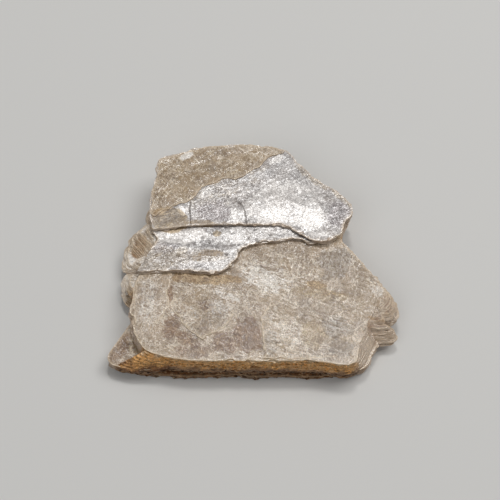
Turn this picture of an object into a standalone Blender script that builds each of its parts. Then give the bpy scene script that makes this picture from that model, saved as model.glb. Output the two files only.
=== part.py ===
"""A hand-sized book of muscovite mica, grown as one piece and broken along its cleavage.

The book is a stack of sheet packets. Each packet is a flat outline with broken, ragged edges,
given its thickness and a slight tilt, and all of them are joined into one closed solid.
From the bottom up the packets are the foot, the low plate that shows at the front left corner,
the thick brown-edged block, the wide front plate, the middle strip and the back plate.
Bent-over sheet ends stand out at the left and right sides.

X runs along the width, Y from the front edge to the back, and Z up out of the sheets.
The origin is under the middle of the book, on the surface that it lies on.
"""

import math
import random

import bmesh
import bpy

MM = 0.001

# Driving heights, in millimetres above the surface that the book lies on.
FOOT_TOP = 1.3
LOW_PLATE_TOP = 4.2
FRONT_PLATE_TOP = 8.3
MIDDLE_STRIP_TOP = 9.6
BACK_PLATE_TOP = 10.6

# How far one packet reaches down into the packet below it.
SEAT = 0.6

# Tilts in degrees about X and about Y. The strip and the back plate rise towards the back left.
LEVEL = (0.0, 0.0)
STRIP_TILT = (0.7, 0.8)
BACK_TILT = (1.0, 0.7)

# Moves every outline so that the origin is under the middle of the whole book.
PLACE_X = -0.26
PLACE_Y = -0.10

# Cracks cut down into the back plate. Their cutters reach up past every sheet on it.
CRACK_WIDTH = 0.22
CRACK_DEPTH = 0.5
CRACK_REACH = 2.0

# Broken edges: the distance between the breaks along an edge, and their depth.
BREAK_SPACING = 2.6
BREAK_DEPTH = 0.28
BREAK_SEED = 4

BODY_COLOUR = (0.46, 0.39, 0.30, 1.0)
BODY_ROUGHNESS = 0.38

# Edge runs in millimetres, all walked anticlockwise as seen from above.
BACK_RUN = [
    (25.5, 11.0), (25.6, 13.0), (24.2, 15.3), (21.5, 18.0), (18.5, 19.7), (15.5, 22.5),
    (12.5, 26.0), (11.4, 26.6), (10.6, 28.5), (8.6, 30.6), (5.0, 31.6), (0.0, 32.4),
    (-5.0, 32.4), (-9.0, 32.0), (-13.0, 31.6), (-16.0, 31.0), (-19.5, 29.5), (-23.0, 28.5),
    (-24.8, 27.6), (-25.6, 25.0), (-25.3, 23.0), (-26.0, 20.0), (-26.6, 16.5), (-26.8, 13.0),
    (-26.9, 10.0), (-26.5, 7.5), (-25.8, 5.6),
]
CREASE_RUN = [
    (-22.5, 6.0), (-19.5, 6.6), (-16.5, 7.0), (-11.5, 7.4), (-6.0, 7.5), (1.5, 7.5),
    (7.0, 7.4), (9.5, 6.5), (12.0, 5.0), (13.8, 3.6),
]
BACK_CORNER_RUN = [
    (16.0, 2.7), (18.5, 2.6), (20.5, 3.4), (22.6, 4.8), (23.0, 6.8), (23.6, 9.0), (24.6, 9.6),
]
STRIP_LEFT_RUN = [
    (-24.4, 3.5), (-25.5, 1.5), (-26.5, -0.5), (-28.3, -4.0), (-29.6, -6.4),
]
STRIP_FRONT_RUN = [
    (-27.0, -6.2), (-23.5, -6.0), (-20.0, -6.0), (-15.5, -6.0), (-11.0, -6.5), (-8.2, -6.2),
    (-6.5, -5.0), (-5.0, -3.0), (-4.0, -1.8), (-4.0, -0.5), (-3.4, 0.9), (-1.0, 2.0),
    (2.0, 2.5), (4.5, 3.0), (7.0, 3.0), (8.5, 3.6), (10.0, 3.9), (12.0, 3.4), (14.0, 2.6),
]
LEFT_RUN = [
    (-25.4, 3.0), (-27.0, -2.0), (-29.3, -6.6), (-30.3, -10.0), (-30.4, -14.0), (-31.0, -16.0),
    (-31.0, -17.5), (-30.2, -18.5), (-30.4, -19.8), (-30.0, -21.5), (-29.5, -23.5),
    (-28.8, -25.0), (-28.0, -26.4), (-27.0, -27.8), (-25.5, -28.7), (-23.0, -29.4),
]
FRONT_RUN = [
    (-21.0, -30.1), (-19.0, -30.5), (-15.5, -30.9), (-10.0, -31.0), (-4.0, -31.0),
    (3.0, -31.1), (9.0, -31.0), (13.5, -31.0), (17.5, -31.4), (20.5, -32.0), (23.0, -32.2),
    (25.3, -31.4),
]
PLATE_RIGHT_RUN = [
    (25.8, -28.5), (26.4, -26.2), (27.6, -23.6), (28.2, -21.0), (29.4, -18.6), (30.6, -16.0),
    (32.4, -12.6), (33.0, -10.4), (31.8, -7.6), (30.6, -6.2), (29.0, -4.2), (26.5, -0.8),
    (24.6, 1.8), (23.0, 3.4), (22.4, 6.5), (23.6, 9.6),
]
SLOPE_RIGHT_RUN = [
    (27.4, -30.6), (28.8, -28.8), (29.6, -26.4), (31.0, -24.2), (31.2, -21.0), (31.6, -17.6),
    (33.2, -14.0), (33.4, -10.6), (31.6, -7.4), (29.0, -4.0), (26.2, -0.8), (24.2, 1.8),
    (22.0, 3.4), (21.8, 6.5), (23.0, 9.6),
]
LOW_LEFT_RUN = [
    (-25.8, 3.0), (-27.4, -2.0), (-29.0, -7.0), (-29.8, -12.0), (-29.6, -16.0),
    (-31.2, -18.6), (-32.4, -20.8), (-33.8, -23.4), (-35.4, -25.8), (-36.2, -27.2),
    (-36.0, -28.6), (-34.9, -29.9), (-32.6, -30.5), (-29.6, -30.9), (-26.0, -31.3),
]
FOOT_OUTLINE = [
    (22.0, 10.0), (20.6, 16.0), (13.6, 23.0), (8.0, 28.4), (0.0, 30.8), (-9.0, 30.4),
    (-17.0, 28.8), (-23.0, 26.2), (-24.6, 20.0), (-25.0, 10.0), (-26.4, 2.0), (-28.2, -6.0),
    (-28.0, -14.0), (-29.4, -20.0), (-31.4, -25.4), (-30.8, -29.4), (-27.8, -30.6),
    (-23.5, -31.4), (-17.0, -31.5), (-8.0, -31.4), (0.0, -31.5), (9.0, -31.4),
    (16.0, -31.8), (19.5, -31.4), (23.0, -30.0), (26.0, -28.6), (27.6, -25.4), (28.4, -20.0),
    (29.6, -13.0), (28.8, -7.6), (24.4, -2.4), (20.6, 2.6),
]

# Sheets that lie on the wide plates.
CORNER_SHEET = [
    (-29.2, -7.3), (-27.5, -6.2), (-23.5, -5.4), (-20.9, -5.8), (-20.3, -7.4), (-20.7, -9.2),
    (-21.8, -11.6), (-21.0, -15.6), (-23.0, -19.0), (-26.0, -22.5), (-29.0, -22.0),
    (-29.8, -19.4), (-30.0, -14.0), (-29.8, -10.0),
]
TONGUE_SHEET = [
    (-20.9, -15.5), (-18.9, -19.2), (-16.9, -21.4), (-15.0, -23.2), (-13.4, -24.6),
    (-12.3, -25.0), (-11.1, -24.5), (-9.9, -23.3), (-8.0, -22.7), (-6.6, -21.8),
    (-6.1, -20.1), (-4.8, -18.2), (-4.0, -13.0), (-5.5, -8.0), (-12.0, -6.5), (-18.0, -8.0),
]
BEIGE_EDGE = [
    (-26.0, 9.4), (-24.0, 9.8), (-21.5, 12.0), (-18.0, 13.6), (-16.4, 14.6), (-14.8, 16.2),
    (-14.2, 17.6), (-13.2, 18.7), (-11.5, 19.6), (-9.0, 20.4), (-6.0, 21.0), (-3.2, 21.9),
    (-1.0, 23.4), (1.0, 24.6), (2.4, 25.6), (3.0, 27.1), (4.5, 28.2), (6.5, 29.4), (8.5, 29.6),
]
SPLIT_SHEET = [
    (2.3, -30.6), (2.4, -27.0), (2.1, -22.4), (1.6, -18.6), (4.0, -15.0), (10.0, -12.0),
    (17.0, -13.0), (22.0, -17.0), (24.6, -23.0), (24.4, -30.0), (13.0, -30.4),
]
SILVER_EDGE = [
    (-9.5, 8.6), (-11.0, 11.0), (-9.5, 14.0), (-6.0, 16.6), (-1.0, 19.4), (4.0, 22.4),
    (8.6, 23.6), (12.0, 23.0), (15.0, 20.6), (19.0, 18.4),
]

# Cracks across the back plate, each from its front end to its back end.
CRACKS = [
    [(-15.4, 6.6), (-15.2, 9.0), (-15.5, 11.4), (-15.2, 13.4)],
    [(-2.6, 7.2), (-2.3, 9.8), (-2.9, 12.6), (-2.4, 14.8)],
]

# Broken sheet ends: (low, high, tilt about X, tilt about Y, outline), from the bottom up.
LEFT_ENDS = [
    (1.8, 3.0, 0.5, -2.0, [
        (-27.0, -2.6), (-32.4, -3.4), (-33.7, -5.4), (-33.6, -8.0), (-33.1, -10.4),
        (-31.8, -12.4), (-29.8, -13.4), (-27.0, -13.6)]),
    (2.7, 3.9, 2.5, -5.0, [
        (-27.0, -2.4), (-33.0, -3.0), (-34.1, -5.0), (-34.2, -7.4), (-33.9, -9.6),
        (-33.0, -11.6), (-31.0, -13.0), (-27.0, -13.2)]),
    (3.7, 5.0, -1.0, -8.0, [
        (-27.0, -3.0), (-32.0, -3.4), (-33.2, -5.2), (-33.1, -7.8), (-32.2, -10.0),
        (-30.6, -11.4), (-27.0, -12.0)]),
    (4.8, 6.2, -2.0, -6.0, [
        (-27.0, -4.0), (-31.2, -4.6), (-31.9, -6.8), (-31.4, -9.4), (-30.0, -10.8),
        (-27.0, -11.0)]),
    (3.0, 4.2, 0.0, -3.0, [
        (-25.0, 10.0), (-29.4, 8.8), (-31.6, 6.6), (-33.2, 4.6), (-33.8, 2.0), (-34.1, -0.6),
        (-33.7, -2.6), (-32.2, -3.6), (-25.0, -5.0)]),
    (4.0, 5.2, 3.0, -6.0, [
        (-25.0, 10.6), (-28.6, 9.6), (-30.4, 8.0), (-32.2, 6.4), (-33.4, 4.0), (-33.6, 1.4),
        (-33.2, -1.2), (-32.0, -2.8), (-30.0, -3.8), (-25.0, -4.6)]),
    (5.1, 6.2, 0.0, -2.0, [
        (-25.0, 11.0), (-28.0, 10.0), (-30.4, 8.2), (-32.6, 5.8), (-31.9, 3.4), (-29.6, 0.4),
        (-27.6, -2.8), (-25.0, -4.0)]),
    (6.0, 7.0, -1.0, -3.0, [
        (-25.0, 11.2), (-27.8, 10.2), (-29.8, 8.4), (-31.8, 6.2), (-30.8, 4.0), (-28.6, 1.2),
        (-26.8, -2.0), (-25.0, -3.0)]),
    (6.8, 7.9, 0.0, -4.0, [
        (-24.0, 11.6), (-27.2, 10.4), (-28.9, 8.8), (-30.6, 6.8), (-29.6, 5.0), (-27.6, 2.4),
        (-26.0, -0.8), (-24.0, -2.0)]),
    (7.6, 8.8, 1.0, -3.0, [
        (-24.0, 11.0), (-27.0, 9.2), (-28.8, 7.2), (-28.2, 5.8), (-26.6, 3.4), (-25.2, 0.6),
        (-24.0, -1.0)]),
    (5.0, 7.8, 0.0, -5.0, [
        (-25.0, 16.0), (-27.4, 15.4), (-28.1, 14.0), (-28.2, 12.2), (-27.6, 10.4),
        (-25.0, 9.0)]),
]
RIGHT_ENDS = [
    (3.6, 4.8, 0.0, 2.0, [
        (28.0, -8.6), (33.4, -10.4), (35.6, -12.6), (36.6, -15.4), (36.2, -17.6),
        (34.6, -18.8), (28.0, -19.4)]),
    (4.6, 5.7, 2.0, 5.0, [
        (28.0, -8.0), (33.2, -9.6), (34.8, -11.2), (36.2, -13.4), (36.7, -16.0),
        (35.8, -18.0), (33.4, -18.9), (28.0, -19.0)]),
    (5.5, 6.6, -2.0, 6.0, [
        (28.0, -8.0), (32.8, -9.2), (34.3, -10.8), (35.2, -13.0), (34.9, -15.2),
        (33.2, -17.0), (31.6, -18.4), (28.0, -18.6)]),
    (6.4, 7.5, 1.0, 7.0, [
        (28.0, -7.4), (32.2, -8.6), (33.7, -10.4), (33.8, -12.8), (32.4, -14.6),
        (32.0, -16.6), (30.2, -18.0), (28.0, -18.4)]),
    (2.4, 3.6, 1.0, 2.0, [
        (27.0, -20.0), (33.4, -19.8), (35.0, -21.0), (35.6, -22.2), (34.2, -23.6),
        (31.6, -24.0), (27.0, -24.4)]),
    (3.4, 4.5, -1.0, 3.0, [
        (27.0, -19.4), (33.2, -19.2), (35.2, -20.0), (36.3, -21.6), (35.6, -23.0),
        (33.0, -23.6), (27.0, -23.8)]),
    (4.3, 5.4, 1.5, 4.0, [
        (27.0, -19.2), (33.6, -18.9), (35.2, -19.9), (35.8, -21.2), (34.8, -22.3),
        (31.6, -22.9), (27.0, -22.8)]),
    (5.2, 6.2, 0.0, 6.0, [
        (27.0, -19.2), (33.0, -19.0), (34.2, -20.2), (33.6, -21.4), (31.0, -21.8),
        (27.0, -21.8)]),
]


def clear_scene():
    """Remove every object, mesh and curve that the file starts with."""
    for item in list(bpy.data.objects):
        bpy.data.objects.remove(item, do_unlink=True)


def make_collection(name):
    """Make a collection under the scene's own."""
    collection = bpy.data.collections.new(name)
    bpy.context.scene.collection.children.link(collection)
    return collection


def mica_material():
    """Pale brown mica with the soft shine of cleaved sheets."""
    material = bpy.data.materials.new("muscovite_mica")
    material.use_nodes = True
    shader = material.node_tree.nodes["Principled BSDF"]
    shader.inputs["Base Color"].default_value = BODY_COLOUR
    shader.inputs["Roughness"].default_value = BODY_ROUGHNESS
    shader.inputs["Metallic"].default_value = 0.0
    return material


def grown(outline, distance):
    """Return a closed outline moved outward by a distance, or inward by a negative one."""
    count = len(outline)
    moved = []
    for index, (x, y) in enumerate(outline):
        before = outline[index - 1]
        after = outline[(index + 1) % count]
        along_x = after[0] - before[0]
        along_y = after[1] - before[1]
        length = math.hypot(along_x, along_y)
        moved.append((x + along_y / length * distance, y - along_x / length * distance))
    return moved


def broken(outline, rng, spacing=BREAK_SPACING, depth=BREAK_DEPTH):
    """Return a closed outline with its long stretches split and every point moved in or out."""
    walked = []
    count = len(outline)
    for index, (x, y) in enumerate(outline):
        next_x, next_y = outline[(index + 1) % count]
        stretch = math.hypot(next_x - x, next_y - y)
        pieces = max(1, round(stretch / spacing))
        for piece in range(pieces):
            share = piece / pieces
            walked.append((x + (next_x - x) * share, y + (next_y - y) * share))
    count = len(walked)
    rough = []
    for index, (x, y) in enumerate(walked):
        before = walked[index - 1]
        after = walked[(index + 1) % count]
        along_x = after[0] - before[0]
        along_y = after[1] - before[1]
        length = math.hypot(along_x, along_y)
        push = rng.uniform(-depth, depth)
        rough.append((x + along_y / length * push, y - along_x / length * push))
    return rough


def slab(name, outline, low, high, collection, tilt=(0.0, 0.0)):
    """Turn a flat outline into a closed slab between two heights, tilted about its middle."""
    middle_x = sum(x for x, y in outline) / len(outline)
    middle_y = sum(y for x, y in outline) / len(outline)
    curve = bpy.data.curves.new(name, "CURVE")
    curve.dimensions = "2D"
    curve.fill_mode = "BOTH"
    curve.extrude = (high - low) / 2.0 * MM
    spline = curve.splines.new("POLY")
    spline.points.add(len(outline) - 1)
    for point, (x, y) in zip(spline.points, outline):
        point.co = ((x - middle_x) * MM, (y - middle_y) * MM, 0.0, 1.0)
    spline.use_cyclic_u = True
    drawn = bpy.data.objects.new(name, curve)
    bpy.context.scene.collection.objects.link(drawn)
    place_x = (middle_x + PLACE_X) * MM
    place_y = (middle_y + PLACE_Y) * MM
    drawn.location = (place_x, place_y, (low + high) / 2.0 * MM)
    drawn.rotation_euler = (math.radians(tilt[0]), math.radians(tilt[1]), 0.0)
    bpy.context.view_layer.update()
    evaluated = drawn.evaluated_get(bpy.context.evaluated_depsgraph_get())
    mesh = bpy.data.meshes.new_from_object(evaluated)
    work = bmesh.new()
    work.from_mesh(mesh)
    bmesh.ops.remove_doubles(work, verts=work.verts, dist=0.00001)
    bmesh.ops.recalc_face_normals(work, faces=work.faces)
    work.to_mesh(mesh)
    work.free()
    solid = bpy.data.objects.new(name, mesh)
    solid.matrix_world = drawn.matrix_world
    bpy.data.objects.remove(drawn, do_unlink=True)
    collection.objects.link(solid)
    solid.hide_render = True
    solid.display_type = "WIRE"
    return solid


def packets(collection):
    """Make the main sheet packets, from the foot to the top of the back plate.

    A row of the stack is a name, an outline, a low and a high face, how far the outline is
    moved out, and a tilt. Each packet's low face is sunk in the packet below it.
    """
    rng = random.Random(BREAK_SEED)
    hidden_back = grown(BACK_RUN, -0.5)[1:-1]
    block = SLOPE_RIGHT_RUN + hidden_back + LEFT_RUN + FRONT_RUN
    plate = PLATE_RIGHT_RUN + hidden_back + LEFT_RUN + FRONT_RUN
    low_plate = SLOPE_RIGHT_RUN + hidden_back + LOW_LEFT_RUN + FRONT_RUN
    strip = BACK_RUN + STRIP_LEFT_RUN + STRIP_FRONT_RUN + BACK_CORNER_RUN
    top = BACK_RUN + CREASE_RUN + BACK_CORNER_RUN
    stack = [
        ("foot", FOOT_OUTLINE, 0.0, FOOT_TOP, 0.0, LEVEL),
        ("under_block", low_plate, FOOT_TOP - SEAT, 2.4, -0.7, LEVEL),
        ("low_plate", low_plate, 2.0, 3.3, -0.1, LEVEL),
        ("low_plate_top", low_plate, 2.9, LOW_PLATE_TOP, 0.1, LEVEL),
        ("block_low", block, LOW_PLATE_TOP - SEAT, 5.4, 0.35, LEVEL),
        ("block_middle", block, 5.0, 6.4, 0.1, LEVEL),
        ("block_high", block, 6.0, 7.3, -0.1, LEVEL),
        ("front_plate", plate, 6.9, 7.9, -0.1, LEVEL),
        ("front_plate_top", plate, 7.5, FRONT_PLATE_TOP, 0.1, LEVEL),
        ("strip_low", strip, FRONT_PLATE_TOP - SEAT, 9.0, 0.25, LEVEL),
        ("strip_top", strip, 8.4, MIDDLE_STRIP_TOP, -0.05, STRIP_TILT),
        ("back_plate", top, MIDDLE_STRIP_TOP - SEAT, 10.1, 0.25, STRIP_TILT),
        ("back_plate_top", top, 9.6, BACK_PLATE_TOP, 0.0, BACK_TILT),
    ]
    made = []
    for name, outline, low, high, spread, tilt in stack:
        edge = broken(grown(outline, spread), rng)
        made.append(slab(name, edge, low, high, collection, tilt))
    return made


def sheets(collection):
    """Make the thin broken sheets that lie on the front and back plates."""
    rng = random.Random(BREAK_SEED + 1)
    beige = grown(BACK_RUN, -0.3)[9:-2] + BEIGE_EDGE
    silver = grown(BACK_RUN, -0.45)[3:-1] + SILVER_EDGE
    lying = [
        ("corner_sheet", CORNER_SHEET, FRONT_PLATE_TOP, 0.28, (-0.5, 0.0)),
        ("tongue_sheet", TONGUE_SHEET, FRONT_PLATE_TOP, 0.22, (-0.8, 0.3)),
        ("split_sheet", SPLIT_SHEET, FRONT_PLATE_TOP, 0.08, (-0.6, 0.7)),
        ("silver_step", silver, BACK_PLATE_TOP, 0.30, BACK_TILT),
        ("beige_sheet", beige, BACK_PLATE_TOP, 0.60, (0.6, 0.4)),
    ]
    made = []
    for name, outline, level, proud, tilt in lying:
        edge = broken(outline, rng, BREAK_SPACING, BREAK_DEPTH / 2.0)
        made.append(slab(name, edge, level - SEAT, level + proud, collection, tilt))
    return made


def crack_cutters(collection):
    """Make a thin upright wedge for each crack, wide at its middle and closed at its ends."""
    made = []
    low = BACK_PLATE_TOP - CRACK_DEPTH
    for number, route in enumerate(CRACKS):
        inner = route[1:-1]
        right = [(x + CRACK_WIDTH / 2.0, y) for x, y in inner]
        left = [(x - CRACK_WIDTH / 2.0, y) for x, y in reversed(inner)]
        outline = [route[0]] + right + [route[-1]] + left
        high = BACK_PLATE_TOP + CRACK_REACH
        made.append(slab(f"crack_{number}", outline, low, high, collection))
    return made


def bent_ends(collection):
    """Make the sheet ends that stand out, bent, at the left and right sides."""
    rng = random.Random(BREAK_SEED + 2)
    made = []
    for side, ends in (("left_end", LEFT_ENDS), ("right_end", RIGHT_ENDS)):
        for number, (low, high, about_x, about_y, outline) in enumerate(ends):
            edge = broken(outline, rng, BREAK_SPACING, BREAK_DEPTH / 2.0)
            name = f"{side}_{number}"
            made.append(slab(name, edge, low, high, collection, (about_x, about_y)))
    return made


def join_and_cut(solids, packet_collection, cutters):
    """Join every packet to the first one, then cut the cracks, with modifiers on that one."""
    first = solids[0]
    packet_collection.objects.unlink(first)
    bpy.context.scene.collection.objects.link(first)
    union = first.modifiers.new("join_packets", "BOOLEAN")
    union.operation = "UNION"
    union.solver = "EXACT"
    union.operand_type = "COLLECTION"
    union.collection = packet_collection
    for cutter in cutters:
        difference = first.modifiers.new(cutter.name, "BOOLEAN")
        difference.operation = "DIFFERENCE"
        difference.solver = "EXACT"
        difference.object = cutter
    return first


def crystal_from(source, collection):
    """Make the finished crystal from an object's evaluated mesh, and remove that object."""
    bpy.context.view_layer.update()
    evaluated = source.evaluated_get(bpy.context.evaluated_depsgraph_get())
    mesh = bpy.data.meshes.new_from_object(evaluated)
    mesh.name = "mica_crystal"
    mesh.transform(source.matrix_world)
    mesh.materials.clear()
    mesh.materials.append(mica_material())
    bpy.data.objects.remove(source, do_unlink=True)
    crystal = bpy.data.objects.new("mica_crystal", mesh)
    collection.objects.link(crystal)
    return crystal


def main():
    """Build the mica book."""
    clear_scene()
    parts = make_collection("mica_crystal")
    packet_collection = make_collection("packets")
    crack_collection = make_collection("cracks")
    solids = packets(packet_collection)
    solids += sheets(packet_collection)
    solids += bent_ends(packet_collection)
    cutters = crack_cutters(crack_collection)
    rough_book = join_and_cut(solids, packet_collection, cutters)
    crystal_from(rough_book, parts)


main()
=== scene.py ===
"""A hand-sized book of muscovite mica: stepped cleavage plates with broken, layered edges.

The book is one grown piece. It is built here as packets of thin cleavage sheets, joined into one
closed mesh: the foot, the low plate at the front left corner, the brown-edged block, the wide
front plate, the middle strip, the back plate, and the bent sheet ends at both sides.
Lengths are in millimetres until a mesh is made, and in metres from there on.
X runs along the width, Y from the front edge to the back, Z up out of the sheets.
"""

import logging
import math
import random
from dataclasses import dataclass
from enum import Enum

import bmesh
import bpy
import numpy as np
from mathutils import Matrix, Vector, geometry, kdtree, noise


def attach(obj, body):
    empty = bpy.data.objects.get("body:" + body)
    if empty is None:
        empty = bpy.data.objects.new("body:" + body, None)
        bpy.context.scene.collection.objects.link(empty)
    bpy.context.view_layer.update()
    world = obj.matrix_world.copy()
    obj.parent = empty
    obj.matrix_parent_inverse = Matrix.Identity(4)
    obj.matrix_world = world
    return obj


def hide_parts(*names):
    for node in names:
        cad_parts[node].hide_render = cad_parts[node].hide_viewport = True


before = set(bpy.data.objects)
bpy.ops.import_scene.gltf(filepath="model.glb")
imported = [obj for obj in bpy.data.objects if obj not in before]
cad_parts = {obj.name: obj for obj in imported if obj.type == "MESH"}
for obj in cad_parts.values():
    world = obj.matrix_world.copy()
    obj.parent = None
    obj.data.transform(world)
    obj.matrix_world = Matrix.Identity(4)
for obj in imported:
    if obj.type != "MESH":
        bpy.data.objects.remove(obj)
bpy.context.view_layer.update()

MM = 0.001
BODY = "root"
NODE = "mica_crystal"

Point = tuple[float, float]
Outline = list[Point]

log = logging.getLogger("mica")

# Heights of the packets above the surface that the book lies on.
FOOT_TOP = 1.3
UNDER_BLOCK_TOP = 2.4
LOW_PLATE_FOOT = 2.0
LOW_PLATE_TOP = 4.2
BLOCK_TOP = 7.3
FRONT_PLATE_FOOT = 6.9
FRONT_PLATE_TOP = 8.3
MIDDLE_STRIP_TOP = 9.6
BACK_PLATE_TOP = 10.6

# How far any other packet reaches down into the packet below it.
SEAT = 0.6

# Moves every outline so that the origin is under the middle of the whole book.
PLACE_X = -0.26
PLACE_Y = -0.10

# Tilts in degrees about X and about Y. The strip and the back plate rise towards the back left.
LEVEL = (0.0, 0.0)
STRIP_TILT = (0.7, 0.8)
BACK_TILT = (1.0, 0.7)

# Edge runs, all walked anticlockwise as seen from above.
BACK_RUN = [
    (25.5, 11.0), (25.6, 13.0), (24.2, 15.3), (21.5, 18.0), (18.5, 19.7), (15.5, 22.5),
    (12.5, 26.0), (11.4, 26.6), (10.6, 28.5), (8.6, 30.6), (5.0, 31.6), (0.0, 32.4),
    (-5.0, 32.4), (-9.0, 32.0), (-13.0, 31.6), (-16.0, 31.0), (-19.5, 29.5), (-23.0, 28.5),
    (-24.8, 27.6), (-25.6, 25.0), (-25.3, 23.0), (-26.0, 20.0), (-26.6, 16.5), (-26.8, 13.0),
    (-26.9, 10.0), (-26.5, 7.5), (-25.8, 5.6),
]
CREASE_RUN = [
    (-22.5, 6.0), (-19.5, 6.6), (-16.5, 7.0), (-11.5, 7.4), (-6.0, 7.5), (1.5, 7.5),
    (7.0, 7.4), (9.5, 6.5), (12.0, 5.0), (13.8, 3.6),
]
BACK_CORNER_RUN = [
    (16.0, 2.7), (18.5, 2.6), (20.5, 3.4), (22.6, 4.8), (23.0, 6.8), (23.6, 9.0), (24.6, 9.6),
]
STRIP_LEFT_RUN = [
    (-24.4, 3.5), (-25.5, 1.5), (-26.5, -0.5), (-28.3, -4.0), (-29.6, -6.4),
]
STRIP_FRONT_RUN = [
    (-27.0, -6.2), (-23.5, -6.0), (-20.0, -6.0), (-15.5, -6.0), (-11.0, -6.5), (-8.2, -6.2),
    (-6.5, -5.0), (-5.0, -3.0), (-4.0, -1.8), (-4.0, -0.5), (-3.4, 0.9), (-1.0, 2.0),
    (2.0, 2.5), (4.5, 3.0), (7.0, 3.0), (8.5, 3.6), (10.0, 3.9), (12.0, 3.4), (14.0, 2.6),
]
LEFT_RUN = [
    (-25.4, 3.0), (-27.0, -2.0), (-29.3, -6.6), (-30.3, -10.0), (-30.4, -14.0), (-31.0, -16.0),
    (-31.0, -17.5), (-30.2, -18.5), (-30.4, -19.8), (-30.0, -21.5), (-29.5, -23.5),
    (-28.8, -25.0), (-28.0, -26.4), (-27.0, -27.8), (-25.5, -28.7), (-23.0, -29.4),
]
FRONT_RUN = [
    (-21.0, -30.1), (-19.0, -30.5), (-15.5, -30.9), (-10.0, -31.0), (-4.0, -31.0),
    (3.0, -31.1), (9.0, -31.0), (13.5, -31.0), (17.5, -31.4), (20.5, -32.0), (23.0, -32.2),
    (25.3, -31.4),
]
PLATE_RIGHT_RUN = [
    (25.8, -28.5), (26.4, -26.2), (27.6, -23.6), (28.2, -21.0), (29.4, -18.6), (30.6, -16.0),
    (32.4, -12.6), (33.0, -10.4), (31.8, -7.6), (30.6, -6.2), (29.0, -4.2), (26.5, -0.8),
    (24.6, 1.8), (23.0, 3.4), (22.4, 6.5), (23.6, 9.6),
]
SLOPE_RIGHT_RUN = [
    (27.4, -30.6), (28.8, -28.8), (29.6, -26.4), (31.0, -24.2), (31.2, -21.0), (31.6, -17.6),
    (33.2, -14.0), (33.4, -10.6), (31.6, -7.4), (29.0, -4.0), (26.2, -0.8), (24.2, 1.8),
    (22.0, 3.4), (21.8, 6.5), (23.0, 9.6),
]
LOW_LEFT_RUN = [
    (-25.8, 3.0), (-27.4, -2.0), (-29.0, -7.0), (-29.8, -12.0), (-29.6, -16.0),
    (-31.2, -18.6), (-32.4, -20.8), (-33.8, -23.4), (-35.4, -25.8), (-36.2, -27.2),
    (-36.0, -28.6), (-34.9, -29.9), (-32.6, -30.5), (-29.6, -30.9), (-26.0, -31.3),
]

# The foot, which is the lowest packet.
FOOT_OUTLINE = [
    (22.0, 10.0), (20.6, 16.0), (13.6, 23.0), (8.0, 28.4), (0.0, 30.8), (-9.0, 30.4),
    (-17.0, 28.8), (-23.0, 26.2), (-24.6, 20.0), (-25.0, 10.0), (-26.4, 2.0), (-28.2, -6.0),
    (-28.0, -14.0), (-29.4, -20.0), (-31.4, -25.4), (-30.8, -29.4), (-27.8, -30.6),
    (-23.5, -31.4), (-17.0, -31.5), (-8.0, -31.4), (0.0, -31.5), (9.0, -31.4),
    (16.0, -31.8), (19.5, -31.4), (23.0, -30.0), (26.0, -28.6), (27.6, -25.4), (28.4, -20.0),
    (29.6, -13.0), (28.8, -7.6), (24.4, -2.4), (20.6, 2.6),
]

# Thin sheets on the front plate, and the free edge of the beige sheet on the back plate.
CORNER_SHEET = [
    (-29.2, -7.3), (-27.5, -6.2), (-23.5, -5.4), (-20.9, -5.8), (-20.3, -7.4), (-20.7, -9.2),
    (-21.8, -11.6), (-21.0, -15.6), (-23.0, -19.0), (-26.0, -22.5), (-29.0, -22.0),
    (-29.8, -19.4), (-30.0, -14.0), (-29.8, -10.0),
]
TONGUE_SHEET = [
    (-20.9, -15.5), (-18.9, -19.2), (-16.9, -21.4), (-15.0, -23.2), (-13.4, -24.6),
    (-12.3, -25.0), (-11.1, -24.5), (-9.9, -23.3), (-8.0, -22.7), (-6.6, -21.8),
    (-6.1, -20.1), (-4.8, -18.2), (-4.0, -13.0), (-5.5, -8.0), (-12.0, -6.5), (-18.0, -8.0),
]
SPLIT_SHEET = [
    (2.3, -30.6), (2.4, -27.0), (2.1, -22.4), (1.6, -18.6), (4.0, -15.0), (10.0, -12.0),
    (17.0, -13.0), (22.0, -17.0), (24.6, -23.0), (24.4, -30.0), (13.0, -30.4),
]
BEIGE_EDGE = [
    (-26.0, 9.4), (-24.0, 9.8), (-21.5, 12.0), (-18.0, 13.6), (-16.4, 14.6), (-14.8, 16.2),
    (-14.2, 17.6), (-13.2, 18.7), (-11.5, 19.6), (-9.0, 20.4), (-6.0, 21.0), (-3.2, 21.9),
    (-1.0, 23.4), (1.0, 24.6), (2.4, 25.6), (3.0, 27.1), (4.5, 28.2), (6.5, 29.4), (8.5, 29.6),
]

# Cracks that run back from the back plate's front edge.
CRACKS = [
    [(-16.3, 6.6), (-16.2, 9.0), (-16.5, 11.4), (-16.3, 14.0)],
    [(-2.0, 7.2), (-1.9, 9.4), (-2.2, 11.2), (-2.9, 13.2), (-4.6, 15.0)],
]

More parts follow.
